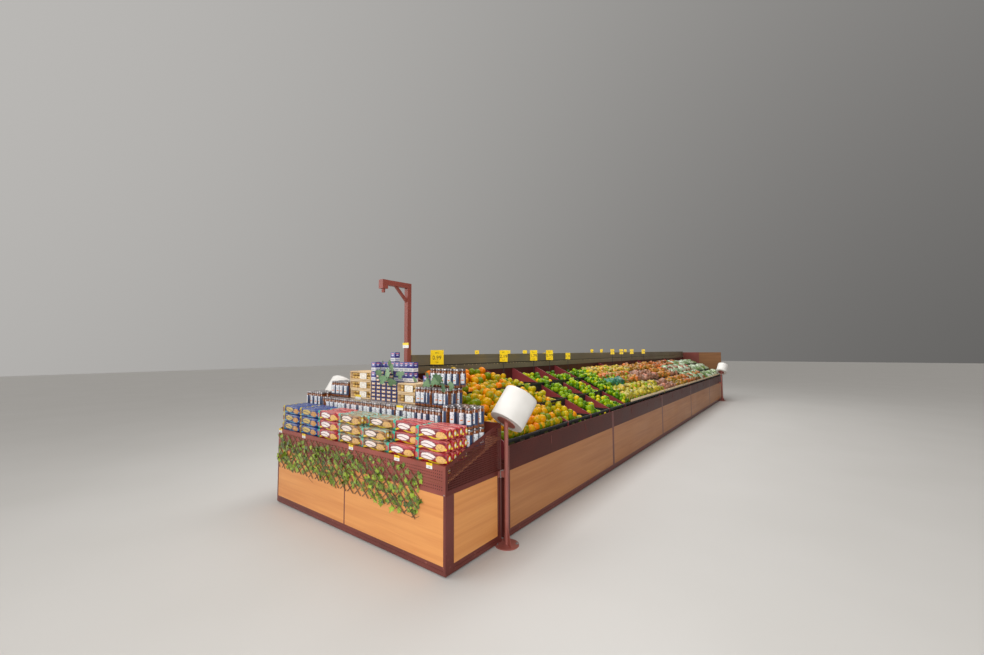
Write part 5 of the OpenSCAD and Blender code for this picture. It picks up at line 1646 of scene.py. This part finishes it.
fittings = {
    "firstTab": 0.76, "tabSpacing": 0.82, "tab": (0.010, 0.003, 0.077), "tabLow": 0.650,
    "edgeBoard": (0.012, 0.030), "edgeStart": 5.4,
    "dotSpacing": 0.074, "dot": (0.0035, 0.010, 0.008), "boltCircle": 0.083, "boltTurn": 38.0,
    # low and high corners of the tags on a tray, a jar and the scale post
    "tags": [((-0.461, -6.1325, 1.089), (-0.367, -6.1300, 1.130)), ((0.359, -6.2715, 1.060), (0.448, -6.2690, 1.100)),
             ((-0.045, -5.8619, 1.612), (0.045, -5.8596, 1.666))],
    "clip": (0.0035, 0.034, 0.060), "clipLow": 0.530, "clipOut": 0.0035, "clipNear": 0.016,
}


# boxes that lie on both long sides, from rows of side, near y, far y, low z and high z
def flankPart(out, thick, rows, cut, pick=0):
    lows, highs = [], []
    for side, y0, y1, z0, z1 in rows:
        x0, x1 = sorted((side * out, side * (out + thick)))
        lows.append((x0, y0, z0))
        highs.append((x1, y1, z1))
    return boxPart(lows, highs, cut, pick)


# tabs, edge boards, pale dots along the ridge seam that are painted highlights, the stands' bolts and washers, band
# clips and the small tags
def makeFittings():
    rng = np.random.default_rng(81)
    f, sides = fittings, (1, -1)
    halfRun = corners("run_bands")[1][0]
    seamLow, seamHigh = corners("ridge_seam")
    bandOut, bandTop = corners("ridge_lower_band")[1][[0, 2]]
    near, out, tall = f["tab"]
    tabs = [(side, y, y + near, f["tabLow"], f["tabLow"] + tall) for y in
            np.arange(run["start"] + f["firstTab"], seamHigh[1] - 0.1, f["tabSpacing"]) for side in sides]
    thick, tall = f["edgeBoard"]
    base = run["rims"][0]
    ends = np.append(f["edgeStart"], np.arange(math.ceil(f["edgeStart"]), 21)) * run["columnLength"] + run["start"]
    edges = [(side, y0, y1, base + 0.0005, base + tall + rng.uniform(0, 0.006))
             for y0, y1 in zip(ends[:-1] + 0.008, ends[1:] - 0.008) for side in sides]
    # pale dots along the top of the ridge's lower band: painted highlights for the glints along the seam
    dotY = np.arange(seamLow[1] + 0.3, seamHigh[1] - 0.1, f["dotSpacing"])
    dotY = dotY[rng.random(len(dotY)) < 0.8]
    dotOut, dotLong, dotTall = f["dot"]
    glintDots = [(side, y, y + dotLong, bandTop - 0.002 - dotTall, bandTop - 0.002) for side in sides for y in dotY]
    parts = [flankPart(halfRun, out, tabs, 0.001), flankPart(run["fronts"][0] - 0.006, thick, edges, 0.002, 1),
             flankPart(bandOut, dotOut, glintDots, 0.001, 2)]
    hexagon, hexFaces = lathe([(0.0090, 0.002), (0.0100, 0.0025), (0.0100, 0.007), (0.0085, 0.009)], 6)
    washer, washerFaces = lathe([(0.0130, 0.0), (0.0135, 0.001), (0.0125, 0.002)], 16)
    poleX, nearY, farY = rollSpec["pole"]
    turn = math.radians(f["boltTurn"])
    out = f["boltCircle"] * np.array([math.cos(turn), math.sin(turn), 0])
    spots = np.array([[poleX, y, 0.008] + s * out for y in (nearY, farY) for s in (1, -1)])
    spots = np.concatenate([spots, spots * [-1, 1, 1]])
    spin = turns(rng.uniform(0, 1, len(spots)), 0, 0)
    parts.append(scatter(hexagon, hexFaces, spots, spin, pick=3))
    parts.append(scatter(washer, washerFaces, spots, pick=3))
    clipThick, clipLong, clipTall = f["clip"]
    clipY, clipZ = nearY - f["clipNear"], f["clipLow"]
    clips = [(side, clipY, clipY + clipLong, clipZ, clipZ + clipTall) for side in sides]
    parts.append(flankPart(halfRun + f["clipOut"], clipThick, clips, 0.0008, 3))
    for low, high in f["tags"]:
        low, high = np.array(low), np.array(high)
        split = low[2] + 0.55 * (high[2] - low[2])
        for pick, a, b in ((4, [low[0], low[1], split], high), (5, low, [high[0], high[1], split - 0.0002])):
            parts.append(boxPart(a, b, 0.0006, pick))
    yellow = cardFace("tagYellow", paint(248, 212, 10), paint(255, 226, 20))
    white = cardFace("tagWhite", paint(232, 230, 226), paint(244, 243, 240))
    zinc = brushedSteel("zincFitting", (140, 138, 134), (206, 204, 200))
    board = woodBoard("edgeBoard", (222, 192, 148), (246, 224, 188), 60.0, 4.0, 0.6)
    clip = mouldedPlastic("seamGlint", (206, 190, 140), (230, 216, 176), 0.45)
    joinParts("smallFittings", parts, [maroon, board, clip, zinc, yellow, white], angle=35)


makeFittings()
print("fittings placed")


# Camera, light and floor

view = {"place": (3.230, -8.65635, 1.575), "lens": 14.789, "yaw": 37.061, "pitch": 3.364, "roll": -0.242}


def turnedCamera():
    yaw, pitch, roll = (math.radians(view[k]) for k in ("yaw", "pitch", "roll"))
    forward = Vector((-math.sin(yaw) * math.cos(pitch), math.cos(yaw) * math.cos(pitch), math.sin(pitch)))
    level = forward.cross(Vector((0, 0, 1))).normalized()
    upright = level.cross(forward)
    right = level * math.cos(roll) + upright * math.sin(roll)
    up = right.cross(forward)
    return Matrix((right, up, -forward)).transposed()


camera = bpy.data.objects.new("camera", bpy.data.cameras.new("camera"))
scene.collection.objects.link(camera)
camera.data.lens, camera.data.sensor_width = view["lens"], 36.0
camera.data.clip_end = 200
camera.matrix_world = Matrix.Translation(view["place"]) @ turnedCamera().to_4x4()
scene.camera = camera
scene.view_settings.view_transform = "Standard"


def areaLight(name, place, target, size, watts):
    lamp = bpy.data.objects.new(name, bpy.data.lights.new(name, "AREA"))
    lamp.data.shape, lamp.data.size, lamp.data.size_y, lamp.data.energy = "RECTANGLE", size[0], size[1], watts
    lamp.location = place
    lamp.rotation_euler = (Vector(target) - Vector(place)).to_track_quat("-Z", "Y").to_euler()
    scene.collection.objects.link(lamp)


areaLight("overhead", (0.0, -0.5, 5.5), (0, -0.5, 0), (2.6, 15.0), 400)
window = bpy.data.objects.new("window", bpy.data.lights.new("window", "SUN"))
window.data.energy, window.data.angle = 1.0, math.radians(45)  # broad enough to cast only soft shadows
window.rotation_euler = Vector((9.4, 8.5, -4.6)).to_track_quat("-Z", "Y").to_euler()
scene.collection.objects.link(window)
areaLight("front", (5.9, -11.74, 3.57), (0.9, -5.8, 0.6), (3.5, 3.0), 315)
scene.world = bpy.data.worlds.new("soft")
scene.world.use_nodes = True
sky = scene.world.node_tree
towards = vectorMath("DOT_PRODUCT", put(sky, "TexCoord")["Generated"], (-0.62, -0.62, 0.48))["Value"]
glow = put(sky, "MapRange", {"Value": towards, "From Min": -0.95, "From Max": 0.9, "To Min": 0.09, "To Max": 0.52})
glow["Result"].into(sky.nodes["Background"].inputs["Strength"])
sky.nodes["Background"].inputs["Color"].default_value = (1.0, 0.975, 0.94, 1)

floorMesh = bpy.data.meshes.new("floor")
floorMesh.from_pydata([(-40, -40, 0), (40, -40, 0), (40, 60, 0), (-40, 60, 0)], [], [(0, 1, 2, 3)])
floor = bpy.data.objects.new("floor", floorMesh)
scene.collection.objects.link(floor)
floorPaint, floorTree, floorShader = startMaterial("floorPaint", 0.6)
floorCloud = noise(objectPlace(floorTree), 0.8)
setColour(floorShader, blend(floorCloud, paint(202, 199, 194), paint(210, 207, 203)))
floorMesh.materials.append(floorPaint)


bpy.context.view_layer.update()
